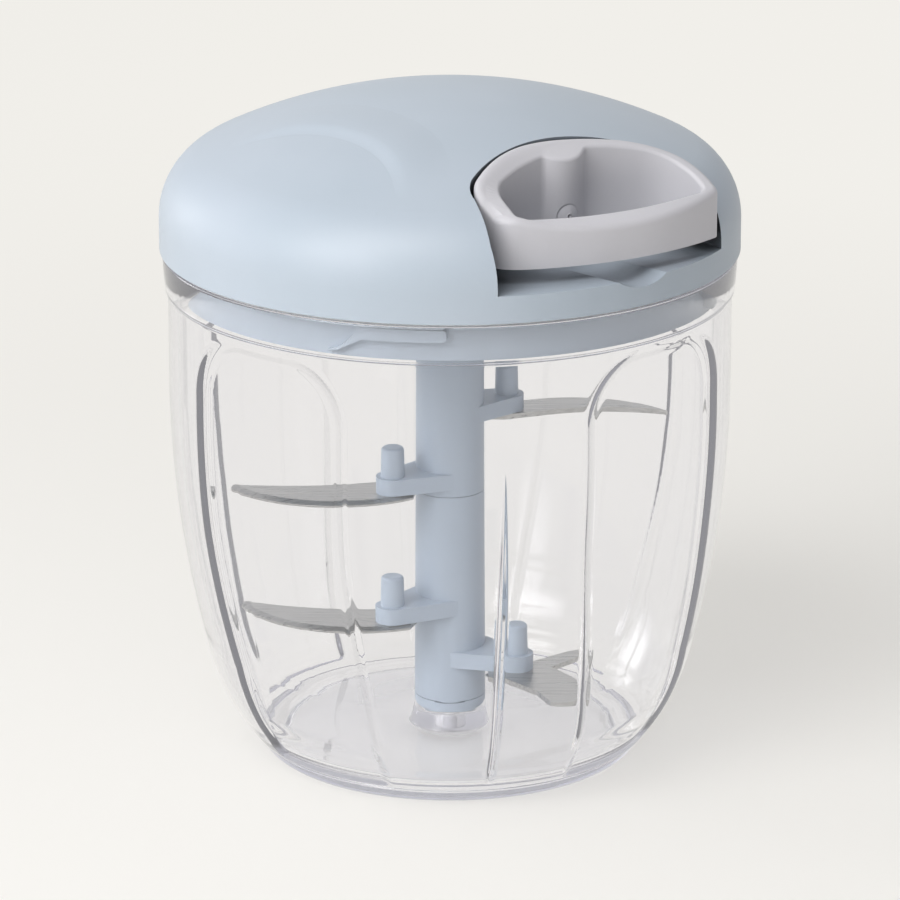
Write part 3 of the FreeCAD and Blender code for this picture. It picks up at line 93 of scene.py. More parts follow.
# slim upright rib on the front and the back of the wall
RIB_ANGLE = -79.0
RIB_TOP = 94.0 * MM
RIB_WIDTH = 2.2 * MM
RIB_HEIGHT = 0.8 * MM
RIB_TAPER = 45.0 * MM

# bayonet lugs inside the collar
LUG_FIRST = -133.0
LUG_ANGLE = 10.0
LUG_REACH = 63.2 * MM
LUG_THICKNESS = 1.0 * MM

# crown of the dome, and the soft crescent step of the palm rest on it
CROWN_RADIUS = 132.41 * MM
CROWN_CENTRE = cover_high.z - CROWN_RADIUS
PALM_CENTRE = (-63.9 * MM, -63.6 * MM)
PALM_RADIUS = 54.2 * MM
PALM_MIDDLE = 43.5
PALM_SPREAD = 35.0
PALM_STEP = 0.8 * MM
PALM_STEP_WIDTH = 4.6 * MM
PALM_RUN_OUT = (18.0 * MM, 11.0 * MM)
PALM_ROUND_OFF = 5.0 * MM
PALM_SINK = 0.05 * MM
PALM_DEPTH = 0.9 * MM

# the pull line of the handle: origin, outward way and sideways way
PULL_ANGLE = math.radians(-59.8)
PULL_WAY = np.array([math.cos(PULL_ANGLE), math.sin(PULL_ANGLE), 0.0])
PULL_SIDE = np.array([-PULL_WAY[1], PULL_WAY[0], 0.0])
CORD_OFFSET = 6.8 * MM
CORD_LEVEL = 137.2 * MM
CORD_RADIUS = 0.9 * MM
EYELET_REACH = 31.0 * MM
CORD_END_REACH = 37.1 * MM
WINDING_TANGENT = (6.0 * MM, 15.8 * MM)

# the handle's back arc in the pull line's frame, its wall, and how its rim is swept up
PULL_ORIGIN = np.array([36.99, -44.07, 0.0]) * MM
RIM_CENTRE = -25.8 * MM
RIM_RADIUS = 47.9 * MM
HANDLE_WALL = 3.8 * MM
RIM_PEAK = -19.0 * MM
RIM_SPREAD = 18.0 * MM
RIM_LIFT = 2.3 * MM
RIM_SWELL = 0.9 * MM
RIM_DROP = 0.5 * MM

# the handle's front left corner: sharp place, ways along the front and the side, its round, the
# length of its tangents, how much wider the round is made and over which runs
CORNER = np.array([-28.2, 1.0]) * MM
CORNER_FRONT = (0.925, -0.380)
CORNER_SIDE = (-0.342, 0.940)
CORNER_ROUND = 2.4 * MM
CORNER_REACH = 1.09 * MM
CORNER_WIDER = 3.0
CORNER_RUN = (11.0 * MM, 7.0 * MM)

# the boss behind the finger opening, and the plug in it with its points round and rings across
BOSS_MIDDLE = 22.8 * MM
BOSS_RADIUS = 7.5 * MM
PLUG_RADIUS = 2.85 * MM
PLUG_OFFSET = -3.0 * MM
PLUG_RISE = 0.5 * MM
PLUG_DEPTH = 0.9 * MM
PLUG_POINTS = 32
PLUG_RINGS = 6

# places across the room that mirrored and bent rays see, from its middle out, and their tones
ROOM_STRIPES = [
    (0.20, (0.90, 0.895, 0.885)),
    (0.52, (0.62, 0.62, 0.64)),
    (0.60, (0.86, 0.86, 0.87)),
    (0.70, (0.38, 0.38, 0.47)),
    (0.79, (0.80, 0.80, 0.84)),
    (0.86, (0.44, 0.43, 0.53)),
    (0.92, (0.78, 0.78, 0.81)),
    (1.00, (0.74, 0.74, 0.77)),
]

# light all round, before the lamps; its share low down and high up, between two heights
WORLD_LEVEL = 0.64
WORLD_HEIGHTS = (0.05, 0.6)
WORLD_SHARES = (0.5 * WORLD_LEVEL, 1.15 * WORLD_LEVEL)

# the floor, and how much of it is even glow: near and far from the middle, and for bent rays
FLOOR_HALF = 3.0
FLOOR_DROP = 0.05 * MM
GLOW_REACH = (0.12, 0.55)
GLOW_SHARES = (0.40, 1.0)
GLOW_BENT = 0.85

# lamps: name, place, aim, width, height and power
LAMPS = [
    ("key", (-0.90, -0.82, 0.80), (0, 0, 0.08), 1.1, 0.8, 8.6),
    ("front_top", (-0.45, -0.70, 1.25), (0, 0, 0.1), 1.0, 0.7, 6.1),
    ("window", (-0.85, -0.95, 0.30), (0, 0, 0.30), 0.45, 0.56, 1.0),
    ("left_edge", (-1.0, 0.65, 0.30), (0, 0, 0.13), 0.5, 0.5, 1.5),
]

# the camera's height angle, distance, aim and lens
CAMERA_ELEVATION = math.radians(17.799)
CAMERA_DISTANCE = 1.2627
CAMERA_AIM = Vector((0, 0, 0.07135))
CAMERA_LENS = 214.97


# ---------------------------------------------------------------- meshes from numpy grids


def mesh_object(name, points, faces, smooth=True):
    """Make a mesh object at the origin from point and face arrays."""
    mesh = bpy.data.meshes.new(name)
    mesh.from_pydata(points.tolist(), [], faces.tolist() if hasattr(faces, "tolist") else faces)
    mesh.polygons.foreach_set("use_smooth", np.full(len(mesh.polygons), smooth))
    mesh.update()
    item = bpy.data.objects.new(name, mesh)
    scene.collection.objects.link(item)
    return item


def ring_faces(rows, columns):
    """Quads between the rows of a grid whose columns close on themselves."""
    row, column = np.meshgrid(np.arange(rows - 1), np.arange(columns), indexing="ij")
    after = (column + 1) % columns
    here = row * columns
    corners = [here + column, here + after, here + columns + after, here + columns + column]
    return np.stack(corners, -1).reshape(-1, 4)


def turned_surface(radius, height, angle):
    """Points (radius cos a, radius sin a, height) of a grid of radius and height by angle, with
    the first and the last row closed by a fan onto the axis."""
    rows, columns = radius.shape
    points = np.stack([radius * np.cos(angle), radius * np.sin(angle), height], -1).reshape(-1, 3)
    low = np.array([[0.0, 0.0, height[0, 0]]])
    high = np.array([[0.0, 0.0, height[-1, 0]]])
    points = np.concatenate([points, low, high])
    column = np.arange(columns)
    after = (column + 1) % columns
    last = (rows - 1) * columns
    fan_low = np.stack([after, column, np.full(columns, rows * columns)], -1)
    fan_high = np.stack([last + column, last + after, np.full(columns, rows * columns + 1)], -1)
    faces = ring_faces(rows, columns).tolist() + fan_low.tolist() + fan_high.tolist()
    return points, faces


def arc_between(start, end, radius, side, count):
    """Points on the short arc of a radius from start to end, bulging left (+1) or right (-1)."""
    start = np.array(start)
    end = np.array(end)
    chord = end - start
    half = np.linalg.norm(chord) / 2
    left = np.array([-chord[1], chord[0]]) / (2 * half)
    centre = (start + end) / 2 - left * side * math.sqrt(radius * radius - half * half)
    first = math.atan2(*(start - centre)[::-1])
    sweep = math.atan2(*(end - centre)[::-1]) - first
    sweep = (sweep + math.pi) % (2 * math.pi) - math.pi
    angle = first + sweep * np.linspace(0, 1, count)
    return centre + radius * np.stack([np.cos(angle), np.sin(angle)], -1)


def softened(corners, radius):
    """Cut every corner of an open profile by a small round of three points."""
    corners = np.array(corners)
    before = corners[:-2] - corners[1:-1]
    after = corners[2:] - corners[1:-1]
    length_before = np.linalg.norm(before, axis=1, keepdims=True)
    length_after = np.linalg.norm(after, axis=1, keepdims=True)
    cut = np.minimum(radius, 0.4 * np.minimum(length_before, length_after))
    first = corners[1:-1] + before / length_before * cut
    last = corners[1:-1] + after / length_after * cut
    middle = (first + last) / 4 + corners[1:-1] / 2
    inner = np.stack([first, middle, last], 1).reshape(-1, 2)
    return np.concatenate([corners[:1], inner, corners[-1:]])


def smooth_step(x):
    """3x^2 - 2x^3 between 0 and 1."""
    x = np.clip(x, 0, 1)
    return x * x * (3 - 2 * x)


# ---------------------------------------------------------------- the clear bowl


def wall_run(inset, count):
    """Wall from the foot band to the collar, moved inwards by an inset."""
    foot = (FOOT_RADIUS + 3.4 * MM - inset, 3.9 * MM)
    belly = (BELLY[0] - inset, BELLY[1])
    side = (SIDE[0] - inset, SIDE[1])
    low = arc_between(foot, belly, BELLY_CURVE - inset, -1, count)
    high = arc_between(belly, side, SIDE_CURVE - inset, -1, count)
    top = np.stack([np.full(count, side[0]), np.linspace(side[1], COLLAR_BOTTOM - 0.4 * MM, count)], -1)
    return np.concatenate([low, high[1:], top[1:]])


def bowl_profile():
    """Outer profile from the axis out and up to the collar's rim, and inner profile back down."""
    foot = softened([
        (0.4 * MM, 1.4 * MM),
        (FLOOR_HOLLOW, 1.4 * MM),
        (FLOOR_HOLLOW + 0.8 * MM, 0.0),
        (FOOT_RADIUS, 0.0),
        (FOOT_RADIUS + 1.2 * MM, 1.0 * MM),
        (FOOT_RADIUS + 2.2 * MM, 2.9 * MM),
        (FOOT_RADIUS + 1.7 * MM, 3.5 * MM),
        (FOOT_RADIUS + 3.4 * MM, 3.9 * MM),
    ], EDGE_ROUND)
    collar = softened([
        (SIDE[0], COLLAR_BOTTOM - 0.4 * MM),
        (COLLAR_RADIUS - 0.5 * MM, COLLAR_BOTTOM),
        (COLLAR_RADIUS, COLLAR_TOP - 0.4 * MM),
        (COLLAR_RADIUS - 0.4 * MM, COLLAR_TOP),
        (COLLAR_INNER, COLLAR_TOP),
        (COLLAR_INNER, COLLAR_BOTTOM),
        (SIDE[0] - WALL, COLLAR_BOTTOM - 0.6 * MM),
    ], EDGE_ROUND)
    outer = np.concatenate([foot[:-1], wall_run(0, 34), collar[1:5]])
    inner_wall = wall_run(WALL, 34)[::-1]
    inner_wall = inner_wall[inner_wall[:, 1] > FLOOR_LEVEL + 4.4 * MM]
    floor = arc_between(inner_wall[-1], (FLOOR_HOLLOW + 0.6 * MM, FLOOR_LEVEL), 7.5 * MM, 1, 12)
    middle = softened([
        (FLOOR_HOLLOW + 0.6 * MM, FLOOR_LEVEL),
        (24 * MM, FLOOR_LEVEL),
        (BOSS[0] + 0.9 * MM, FLOOR_LEVEL),
        (BOSS[0], BOSS[1]),
        (PIN_RADIUS, BOSS[1]),
        (PIN_RADIUS, PIN_SEAT),
        (0.4 * MM, PIN_SEAT),
    ], EDGE_ROUND)
    inner = np.concatenate([collar[5:], inner_wall[1:], floor[1:-1], middle])
    return outer, inner


def angle_stations():
    """Angles round the bowl, close together across each panel's edges and each rib."""
    quarter = 360 / PANEL_COUNT
    edge_low = PANEL_HALF_ANGLE - 11
    edge_high = PANEL_HALF_ANGLE + 8
    steps = np.concatenate([
        np.arange(0, edge_low, 2.0),
        np.arange(edge_low, edge_high, 0.45),
        np.arange(edge_high, quarter / 2 + 0.1, 1.5),
    ])
    half = np.concatenate([-steps[:0:-1], steps])
    around = (PANEL_CENTRE + half[None, :] + quarter * np.arange(PANEL_COUNT)[:, None]).reshape(-1)
    ribs = (RIB_ANGLE + np.arange(2)[:, None] * 180 + np.linspace(-1.8, 1.8, 19)[None, :]).reshape(-1)
    clear = np.abs((around[:, None] - RIB_ANGLE + 90) % 180 - 90).min(1) > 1.9
    merged = np.sort(np.concatenate([around[clear], ribs]) % 360)
    return merged[np.concatenate([[True], np.diff(merged) > 0.12])]


def panel_press(radius, height, degrees):
    """How far each point of the wall is pressed in: a soft step across the outline of a
    round-topped panel, measured in the wall's own surface."""
    quarter = 360 / PANEL_COUNT
    lean = PANEL_LEAN * smooth_step(1 - height / (70 * MM))
    local = (degrees - PANEL_CENTRE - lean + quarter / 2) % quarter - quarter / 2
    across = np.abs(np.radians(local)) * radius
    half = math.radians(PANEL_HALF_ANGLE) * radius
    corner_x = across - (half - PANEL_CORNER)
    corner_z = height - (PANEL_TOP - PANEL_CORNER)
    outside = np.hypot(np.maximum(corner_x, 0), np.maximum(corner_z, 0))
    distance = outside + np.minimum(np.maximum(corner_x, corner_z), 0) - PANEL_CORNER
    step = smooth_step(0.5 - distance / PANEL_BEVEL)
    fade = smooth_step((height - PANEL_FADE[0]) / (PANEL_FADE[1] - PANEL_FADE[0]))
    return PANEL_DEPTH * step * fade


def rib_rise(radius, height, degrees):
    """How far the wall stands out along the two upright ribs, which taper away upwards."""
    local = (degrees - RIB_ANGLE + 90) % 180 - 90
    across = np.abs(np.radians(local)) * radius
    swell = smooth_step((RIB_TOP - height) / RIB_TAPER)
    width = 0.35 * RIB_WIDTH * (0.25 + 0.75 * swell) + 1e-6
    foot = smooth_step((height - 5 * MM) / (5 * MM))
    return RIB_HEIGHT * swell * foot * np.exp(-((across / width) ** 2))


def make_bowl():
    """The bowl as one turned surface whose wall is pressed in along the panels."""
    outer, inner = bowl_profile()
    degrees = angle_stations()
    angle = np.radians(degrees)[None, :]
    profile = np.concatenate([outer, inner])
    radius = np.repeat(profile[:, :1], len(degrees), 1)
    height = np.repeat(profile[:, 1:], len(degrees), 1)
    is_wall = (height > 3.95 * MM) & (height < COLLAR_BOTTOM - 0.5 * MM) & (radius > FLOOR_HOLLOW)
    is_inner = (np.arange(len(profile)) >= len(outer))[:, None]
    base = radius + np.where(is_inner, WALL, 0)
    press = panel_press(base, height, degrees[None, :]) * is_wall
    low_wall = smooth_step((height - FLOOR_LEVEL - 4 * MM) / (8 * MM))
    press = np.where(is_inner, press * low_wall, press)
    rib = rib_rise(base, height, degrees[None, :]) * is_wall * is_inner
    radius = radius - press - rib
    points, faces = turned_surface(radius, height, angle)
    bowl = mesh_object("bowl_shell", points, faces)
    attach(bowl, "bowl")
    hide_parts("bowl")
    return bowl


def make_lugs():
    """Four short lugs under the collar's rim: a rounded bar swept along an arc."""
    top = COLLAR_TOP - 0.02 * MM
    low = COLLAR_TOP - LUG_THICKNESS
    section = softened([
        (COLLAR_INNER + 0.3 * MM, top),
        (LUG_REACH, top),
        (LUG_REACH, low),
        (COLLAR_INNER + 0.3 * MM, low),
    ], 0.3 * MM)
    count = len(section)
    sweep = np.linspace(0, LUG_ANGLE, 14)
    pieces = []
    faces = []
    for i in range(4):
        angle = np.radians(LUG_FIRST + i * 90 + sweep)[:, None]
        start = sum(len(piece) for piece in pieces)
        points = np.stack([section[:, 0] * np.cos(angle), section[:, 0] * np.sin(angle),
                           np.repeat(section[None, :, 1], len(sweep), 0)], -1).reshape(-1, 3)
        pieces.append(points)
        faces += (ring_faces(len(sweep), count) + start).tolist()
        faces.append((np.arange(count)[::-1] + start).tolist())
        faces.append((np.arange(count) + start + count * (len(sweep) - 1)).tolist())
    lugs = mesh_object("bowl_lugs", np.concatenate(pieces), faces, smooth=False)
    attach(lugs, "bowl")
    return lugs


# ---------------------------------------------------------------- palm rest on the dome


def make_palm_rest():
    """Crescent swell on the dome: P = C + (R + h) n, where n points from the crown's centre to
    the place at (angle, distance) about the palm's centre. h rises over a step of 3s^2 - 2s^3 at
    the crescent's inner side, runs out towards the crown and fades towards both ends."""
    share = np.linspace(-1, 1, 161)[:, None]
    angle = np.radians(PALM_MIDDLE + PALM_SPREAD * share)
    run_out = (sum(PALM_RUN_OUT) + (PALM_RUN_OUT[0] - PALM_RUN_OUT[1]) * share) / 2
    out = np.concatenate([np.linspace(-0.3, 1.2, 40) * PALM_STEP_WIDTH + 0 * share,
                          1.2 * PALM_STEP_WIDTH + run_out * np.linspace(0, 1, 51)[1:]], axis=1)
    round_off = PALM_ROUND_OFF * share ** 4
    x = PALM_CENTRE[0] + (PALM_RADIUS + out - round_off) * np.cos(angle)
    y = PALM_CENTRE[1] + (PALM_RADIUS + out - round_off) * np.sin(angle)
    z = np.sqrt(CROWN_RADIUS ** 2 - x * x - y * y)
    step = smooth_step(out / PALM_STEP_WIDTH)
    run_down = 1 - smooth_step((out - PALM_STEP_WIDTH) / run_out)
    ends = smooth_step(1.7 * (1 - np.abs(share)))
    height = PALM_STEP * step * run_down * ends - PALM_SINK
    length = 1 + height / CROWN_RADIUS
    points = np.stack([x * length, y * length, CROWN_CENTRE + z * length], -1)
    rows, columns = points.shape[:2]
    under = points.copy()
    under[..., 2] -= PALM_DEPTH
    ring = np.concatenate([np.arange(columns), np.arange(1, rows) * columns + columns - 1,
                           (rows - 1) * columns + np.arange(columns - 2, -1, -1),
                           np.arange(rows - 2, 0, -1) * columns])
    row, column = np.meshgrid(np.arange(rows - 1), np.arange(columns - 1), indexing="ij")
    here = (row * columns + column).reshape(-1)
    top = np.stack([here, here + columns, here + columns + 1, here + 1], -1)
    base = rows * columns
    after = np.roll(ring, -1)
    side = np.stack([ring, after, after + base, ring + base], -1)
    faces = np.concatenate([top, top[:, ::-1] + base, side])
    both = np.concatenate([points.reshape(-1, 3), under.reshape(-1, 3)])
    rest = mesh_object("palm_rest", both, faces)
    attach(rest, "lid")
    return rest


# ---------------------------------------------------------------- the handle's swept-up rim


def softer_corner(along, inward):
    """Shift that widens the round of the handle's front left corner: places of the outline at a
    distance t from the sharp corner, up to CORNER_REACH, go out to CORNER_WIDER t, and farther ones
    are packed closer, up to the run on that side. It fades over the depth of the rim."""
    front = np.array(CORNER_FRONT)
    side = np.array(CORNER_SIDE)
    into_front = np.array([-front[1], front[0]])
    into_side = np.array([side[1], -side[0]])
    place = np.stack([along, inward], -1) - CORNER
    middle = (into_front + into_side) / (1 + into_front @ into_side) * CORNER_ROUND
    spoke = place - middle
    length = np.linalg.norm(spoke, axis=1)
    in_round = ((spoke @ front) < 0) & ((spoke @ side) < 0) & (length < CORNER_ROUND + 0.1 * MM)
    at_front = ~in_round & (place @ front > place @ side)
    foot_front = (place @ front)[:, None] * front
    foot_side = (place @ side)[:, None] * side
    foot_round = middle + spoke / np.maximum(length, 1e-9)[:, None] * CORNER_ROUND
    foot = np.where(in_round[:, None], foot_round, np.where(at_front[:, None], foot_front, foot_side))
    depth = np.where(in_round, CORNER_ROUND - length,
                     np.where(at_front, place @ into_front, place @ into_side))
    away = np.linalg.norm(foot, axis=1)
    run = np.where(at_front, CORNER_RUN[0], CORNER_RUN[1])
    spare = np.clip((run - away) / (run - CORNER_REACH), 0, 1)
    stretch = np.where(in_round | (away < CORNER_REACH), (CORNER_WIDER - 1) * away,
                       (CORNER_WIDER - 1) * CORNER_REACH * spare)
    ahead = np.where(at_front, place @ front, place @ side) > -0.01 * MM
    fade = (1 - smooth_step((depth - 1.0 * MM) / (1.2 * MM))) * (in_round | ahead) * (depth > -0.3 * MM)
    return foot / np.maximum(away, 1e-9)[:, None] * (stretch * fade)[:, None]


def pull_grid(along, inward, level):
    """Points from their places along and into the handle and their heights."""
    up = np.array([0, 0, 1.0])
    return PULL_ORIGIN + along[:, None] * PULL_SIDE - inward[:, None] * PULL_WAY + level[:, None] * up


def make_knot_plug():
    """Plug over the cord's knot: a disc that follows the boss, inward = M - sqrt(R^2 - x^2), and
    stands out by PLUG_RISE (1 - r^2), with r from 0 in its middle to 1 at its edge."""
    ring = np.linspace(0, 1, PLUG_RINGS + 1)[1:, None] * np.full(PLUG_POINTS, PLUG_RADIUS)
    turn = np.linspace(0, 2 * math.pi, PLUG_POINTS, endpoint=False)
    across = np.concatenate([[0.0], (ring * np.cos(turn)).reshape(-1)])
    height = np.concatenate([[0.0], (ring * np.sin(turn)).reshape(-1)])
    face = BOSS_MIDDLE - np.sqrt(BOSS_RADIUS ** 2 - across ** 2)
    rise = PLUG_RISE * (1 - (across ** 2 + height ** 2) / PLUG_RADIUS ** 2) + 0.01 * MM
    layers = [pull_grid(across + PLUG_OFFSET, face + sink, height + CORD_LEVEL)
              for sink in (-rise, PLUG_DEPTH)]
    count = len(across)
    column = np.arange(PLUG_POINTS)
    after = (column + 1) % PLUG_POINTS
    fan = np.stack([np.zeros(PLUG_POINTS, int), 1 + column, 1 + after], -1)
    quads = ring_faces(PLUG_RINGS, PLUG_POINTS) + 1
    edge = count - PLUG_POINTS
    side = np.stack([edge + after, edge + column, edge + column + count, edge + after + count], -1)
    faces = fan.tolist() + quads.tolist()
    faces += (fan[:, ::-1] + count).tolist() + (quads[:, ::-1] + count).tolist() + side.tolist()
    plug = mesh_object("knot_plug", np.concatenate(layers), faces)
    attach(plug, "handle")
    return plug


def make_handle():
    """The handle's own mesh with its outer rim swept up to the dome at the left and the back. The
    lift is RIM_LIFT exp(-((a - RIM_PEAK) / RIM_SPREAD)^2) at a place a along the handle; it grows
    over the wall's thickness, over the height and with the distance from the front."""
    node = nodes["pull_handle"]
    mesh = node.data.copy()
    flat = np.empty(len(mesh.vertices) * 3)
    mesh.vertices.foreach_get("co", flat)
    turn = np.array(node.matrix_world)
    points = flat.reshape(-1, 3) @ turn[:3, :3].T + turn[:3, 3]
    local = points - PULL_ORIGIN
    along = local @ PULL_SIDE
    inward = -(local @ PULL_WAY)
    from_centre = np.stack([along, inward - RIM_CENTRE], -1)
    reach = np.linalg.norm(from_centre, axis=1)
    outer = smooth_step((reach - RIM_RADIUS + HANDLE_WALL) / HANDLE_WALL)
    tall = smooth_step((points[:, 2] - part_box("pull_handle")[0].z - 7 * MM) / (9 * MM))
    behind = smooth_step((inward - 1 * MM) / (9 * MM))
    share = np.exp(-(((along - RIM_PEAK) / RIM_SPREAD) ** 2))
    weight = outer * tall * behind
    drop = RIM_DROP * smooth_step((along - 12 * MM) / (10 * MM))
    points[:, 2] += weight * (RIM_LIFT * share - drop)
    way = from_centre / reach[:, None]
    out = (weight * share * RIM_SWELL)[:, None] * way + softer_corner(along, inward)
    points += out[:, :1] * PULL_SIDE - out[:, 1:] * PULL_WAY
    mesh.vertices.foreach_set("co", points.reshape(-1))
    mesh.update()
    handle = bpy.data.objects.new("handle_shell", mesh)
    scene.collection.objects.link(handle)
    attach(handle, "handle")
    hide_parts("pull_handle")
    return handle


# ---------------------------------------------------------------- the pull cord


def pull_point(reach, offset, level):
    """Point at a reach along the pull line, an offset to its side and a height."""
    return PULL_WAY * reach + PULL_SIDE * offset + np.array([0, 0, level])


def tube(name, path, radius, sides=14):
    """Round tube: path(s) + radius (cos t n(s) + sin t z), closed at both ends."""
    ahead = np.gradient(path, axis=0)
    ahead /= np.linalg.norm(ahead, axis=1, keepdims=True)
    up = np.array([0.0, 0.0, 1.0])
    across = np.cross(up, ahead)
    t = np.linspace(0, 2 * math.pi, sides, endpoint=False)
    round_it = np.cos(t)[None, :, None] * across[:, None] + np.sin(t)[None, :, None] * up
    points = path[:, None] + radius * round_it
    faces = ring_faces(len(path), sides)[:, ::-1].tolist()
    faces.append(np.arange(sides).tolist())
    faces.append((np.arange(sides)[::-1] + sides * (len(path) - 1)).tolist())
    return mesh_object(name, points.reshape(-1, 3), faces)


def make_cord():
    """Cord from the winding to the eyelet and straight out to the handle."""
    start = pull_point(*WINDING_TANGENT, CORD_LEVEL)
    bend = pull_point(EYELET_REACH - 2 * MM, CORD_OFFSET, CORD_LEVEL)
    end = pull_point(CORD_END_REACH, CORD_OFFSET, CORD_LEVEL)
    s = np.linspace(0, 1, 24)[:, None]
    run_in = start + (bend - start) * s[:-4]
    turn_start = run_in[-1]
    turn_end = bend + PULL_WAY * 3 * MM
    turn = (1 - s) ** 2 * turn_start + 2 * s * (1 - s) * bend + s ** 2 * turn_end
    fine = np.linspace(0, 1, 90)[1:, None]
    run_out = turn_end + (end - turn_end) * fine
    cord = tube("pull_cord", np.concatenate([run_in[:-1], turn, run_out]), CORD_RADIUS)
    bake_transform(cord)
    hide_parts("cord_lead")
    return cord


# ---------------------------------------------------------------- materials


def new_group(name, inputs, outputs):
    """Empty shader node group with named sockets; returns the group and its two ends."""
    group = bpy.data.node_groups.new(name, "ShaderNodeTree")
    for socket, kind, value in inputs:
        item = group.interface.new_socket(name=socket, in_out="INPUT", socket_type=kind)
        if value is not None:
            item.default_value = value
    for socket, kind in outputs:
        group.interface.new_socket(name=socket, in_out="OUTPUT", socket_type=kind)
    return group, group.nodes.new("NodeGroupInput"), group.nodes.new("NodeGroupOutput")


def math_node(tree, operation, first, second):
    """Math node of two values, each a socket or a number; a third, where one is asked, is 0.5."""
    node = tree.nodes.new("ShaderNodeMath")
    node.operation = operation
    node.inputs[2].default_value = 0.5
    for socket, value in zip(node.inputs, (first, second)):
        if isinstance(value, bpy.types.NodeSocket):
            tree.links.new(value, socket)
        else:
            socket.default_value = value
    return node.outputs[0]


def map_range(tree, value, before, after, soft=False):
    """Value moved from the range before to the range after, straight or along a soft step."""
    node = tree.nodes.new("ShaderNodeMapRange")
    if soft:
        node.interpolation_type = "SMOOTHSTEP"
    tree.links.new(value, node.inputs["Value"])
    for socket, limit in zip(list(node.inputs)[1:5], (*before, *after)):
        socket.default_value = limit
    return node.outputs["Result"]


def moulded_grain_group():
    """Fine grain and slow mottling of moulded plastic: height, roughness and tone."""
    group, source, result = new_group("moulded_grain", [
        ("Roughness", "NodeSocketFloat", 0.4),
        ("Variation", "NodeSocketFloat", 0.06),
        ("Grain Scale", "NodeSocketFloat", 900.0),
    ], [
        ("Roughness", "NodeSocketFloat"),
        ("Height", "NodeSocketFloat"),
        ("Tone", "NodeSocketFloat"),
    ])
    links = group.links
    place = group.nodes.new("ShaderNodeTexCoord")
    grain = group.nodes.new("ShaderNodeTexNoise")
    grain.inputs["Detail"].default_value = 3.0
    links.new(place.outputs["Object"], grain.inputs["Vector"])
    links.new(source.outputs["Grain Scale"], grain.inputs["Scale"])
    mottle = group.nodes.new("ShaderNodeTexNoise")
    mottle.inputs["Scale"].default_value = 28.0
    mottle.inputs["Detail"].default_value = 2.0
    links.new(place.outputs["Object"], mottle.inputs["Vector"])
    centred = math_node(group, "SUBTRACT", mottle.outputs["Fac"], 0.5)
    spread = math_node(group, "MULTIPLY", centred, source.outputs["Variation"])
    links.new(math_node(group, "ADD", spread, source.outputs["Roughness"]), result.inputs["Roughness"])
    links.new(grain.outputs["Fac"], result.inputs["Height"])
    links.new(mottle.outputs["Fac"], result.inputs["Tone"])
    return group


def new_material(name):
    """Material with a Principled shader; returns the material, its tree and the shader."""
    material = bpy.data.materials.new(name)
    material.use_nodes = True
    tree = material.node_tree
    return material, tree, tree.nodes["Principled BSDF"]


def tone_ramp(tree, value, dark, light, low=0.35, high=0.65):
    """Colour between two tones by a value."""
    ramp = tree.nodes.new("ShaderNodeValToRGB")
    ramp.color_ramp.elements[0].position = low
    ramp.color_ramp.elements[0].color = (*dark, 1)
    ramp.color_ramp.elements[1].position = high
    ramp.color_ramp.elements[1].color = (*light, 1)
    tree.links.new(value, ramp.inputs["Fac"])
    return ramp.outputs["Color"]


def bump(tree, height, distance):
    """Bump node from a height."""
    node = tree.nodes.new("ShaderNodeBump")
    node.inputs["Strength"].default_value = 1.0
    node.inputs["Distance"].default_value = distance
    tree.links.new(height, node.inputs["Height"])
    return node.outputs["Normal"]


def linear(red, green, blue):
    """Linear colour from 0-255 display values."""
    return tuple(((c / 255) / 12.92 if c / 255 <= 0.04045 else ((c / 255 + 0.055) / 1.055) ** 2.4)
                 for c in (red, green, blue))


def recess_shade(tree, colour, reach, low, high, deepest):
    """Painted shade: colour darkened where little of the surroundings is open within a reach."""
    open_share = tree.nodes.new("ShaderNodeAmbientOcclusion")
    open_share.samples = 12
    open_share.inputs["Distance"].default_value = reach
    level = map_range(tree, open_share.outputs["AO"], (low, high), (deepest, 1.0))
    scaled = tree.nodes.new("ShaderNodeVectorMath")
    scaled.operation = "SCALE"
    tree.links.new(colour, scaled.inputs[0])
    tree.links.new(level, scaled.inputs["Scale"])
    return scaled.outputs["Vector"]


def moulded_plastic(name, dark, light, roughness, grain_depth=0.00002, shade=None):
    """Opaque moulded plastic with a faint grain and a slow change of tone, and painted shade in its
    recesses where a shade is given.
    """
    material, tree, shader = new_material(name)
    grain = tree.nodes.new("ShaderNodeGroup")
    grain.node_tree = GRAIN
    grain.inputs["Roughness"].default_value = roughness
    colour = tone_ramp(tree, grain.outputs["Tone"], dark, light)
    if shade:
        # painted shade: the colour is darkened in recesses by ambient occlusion
        colour = recess_shade(tree, colour, *shade)
    tree.links.new(colour, shader.inputs["Base Color"])
    tree.links.new(grain.outputs["Roughness"], shader.inputs["Roughness"])
    tree.links.new(bump(tree, grain.outputs["Height"], grain_depth), shader.inputs["Normal"])
    return material


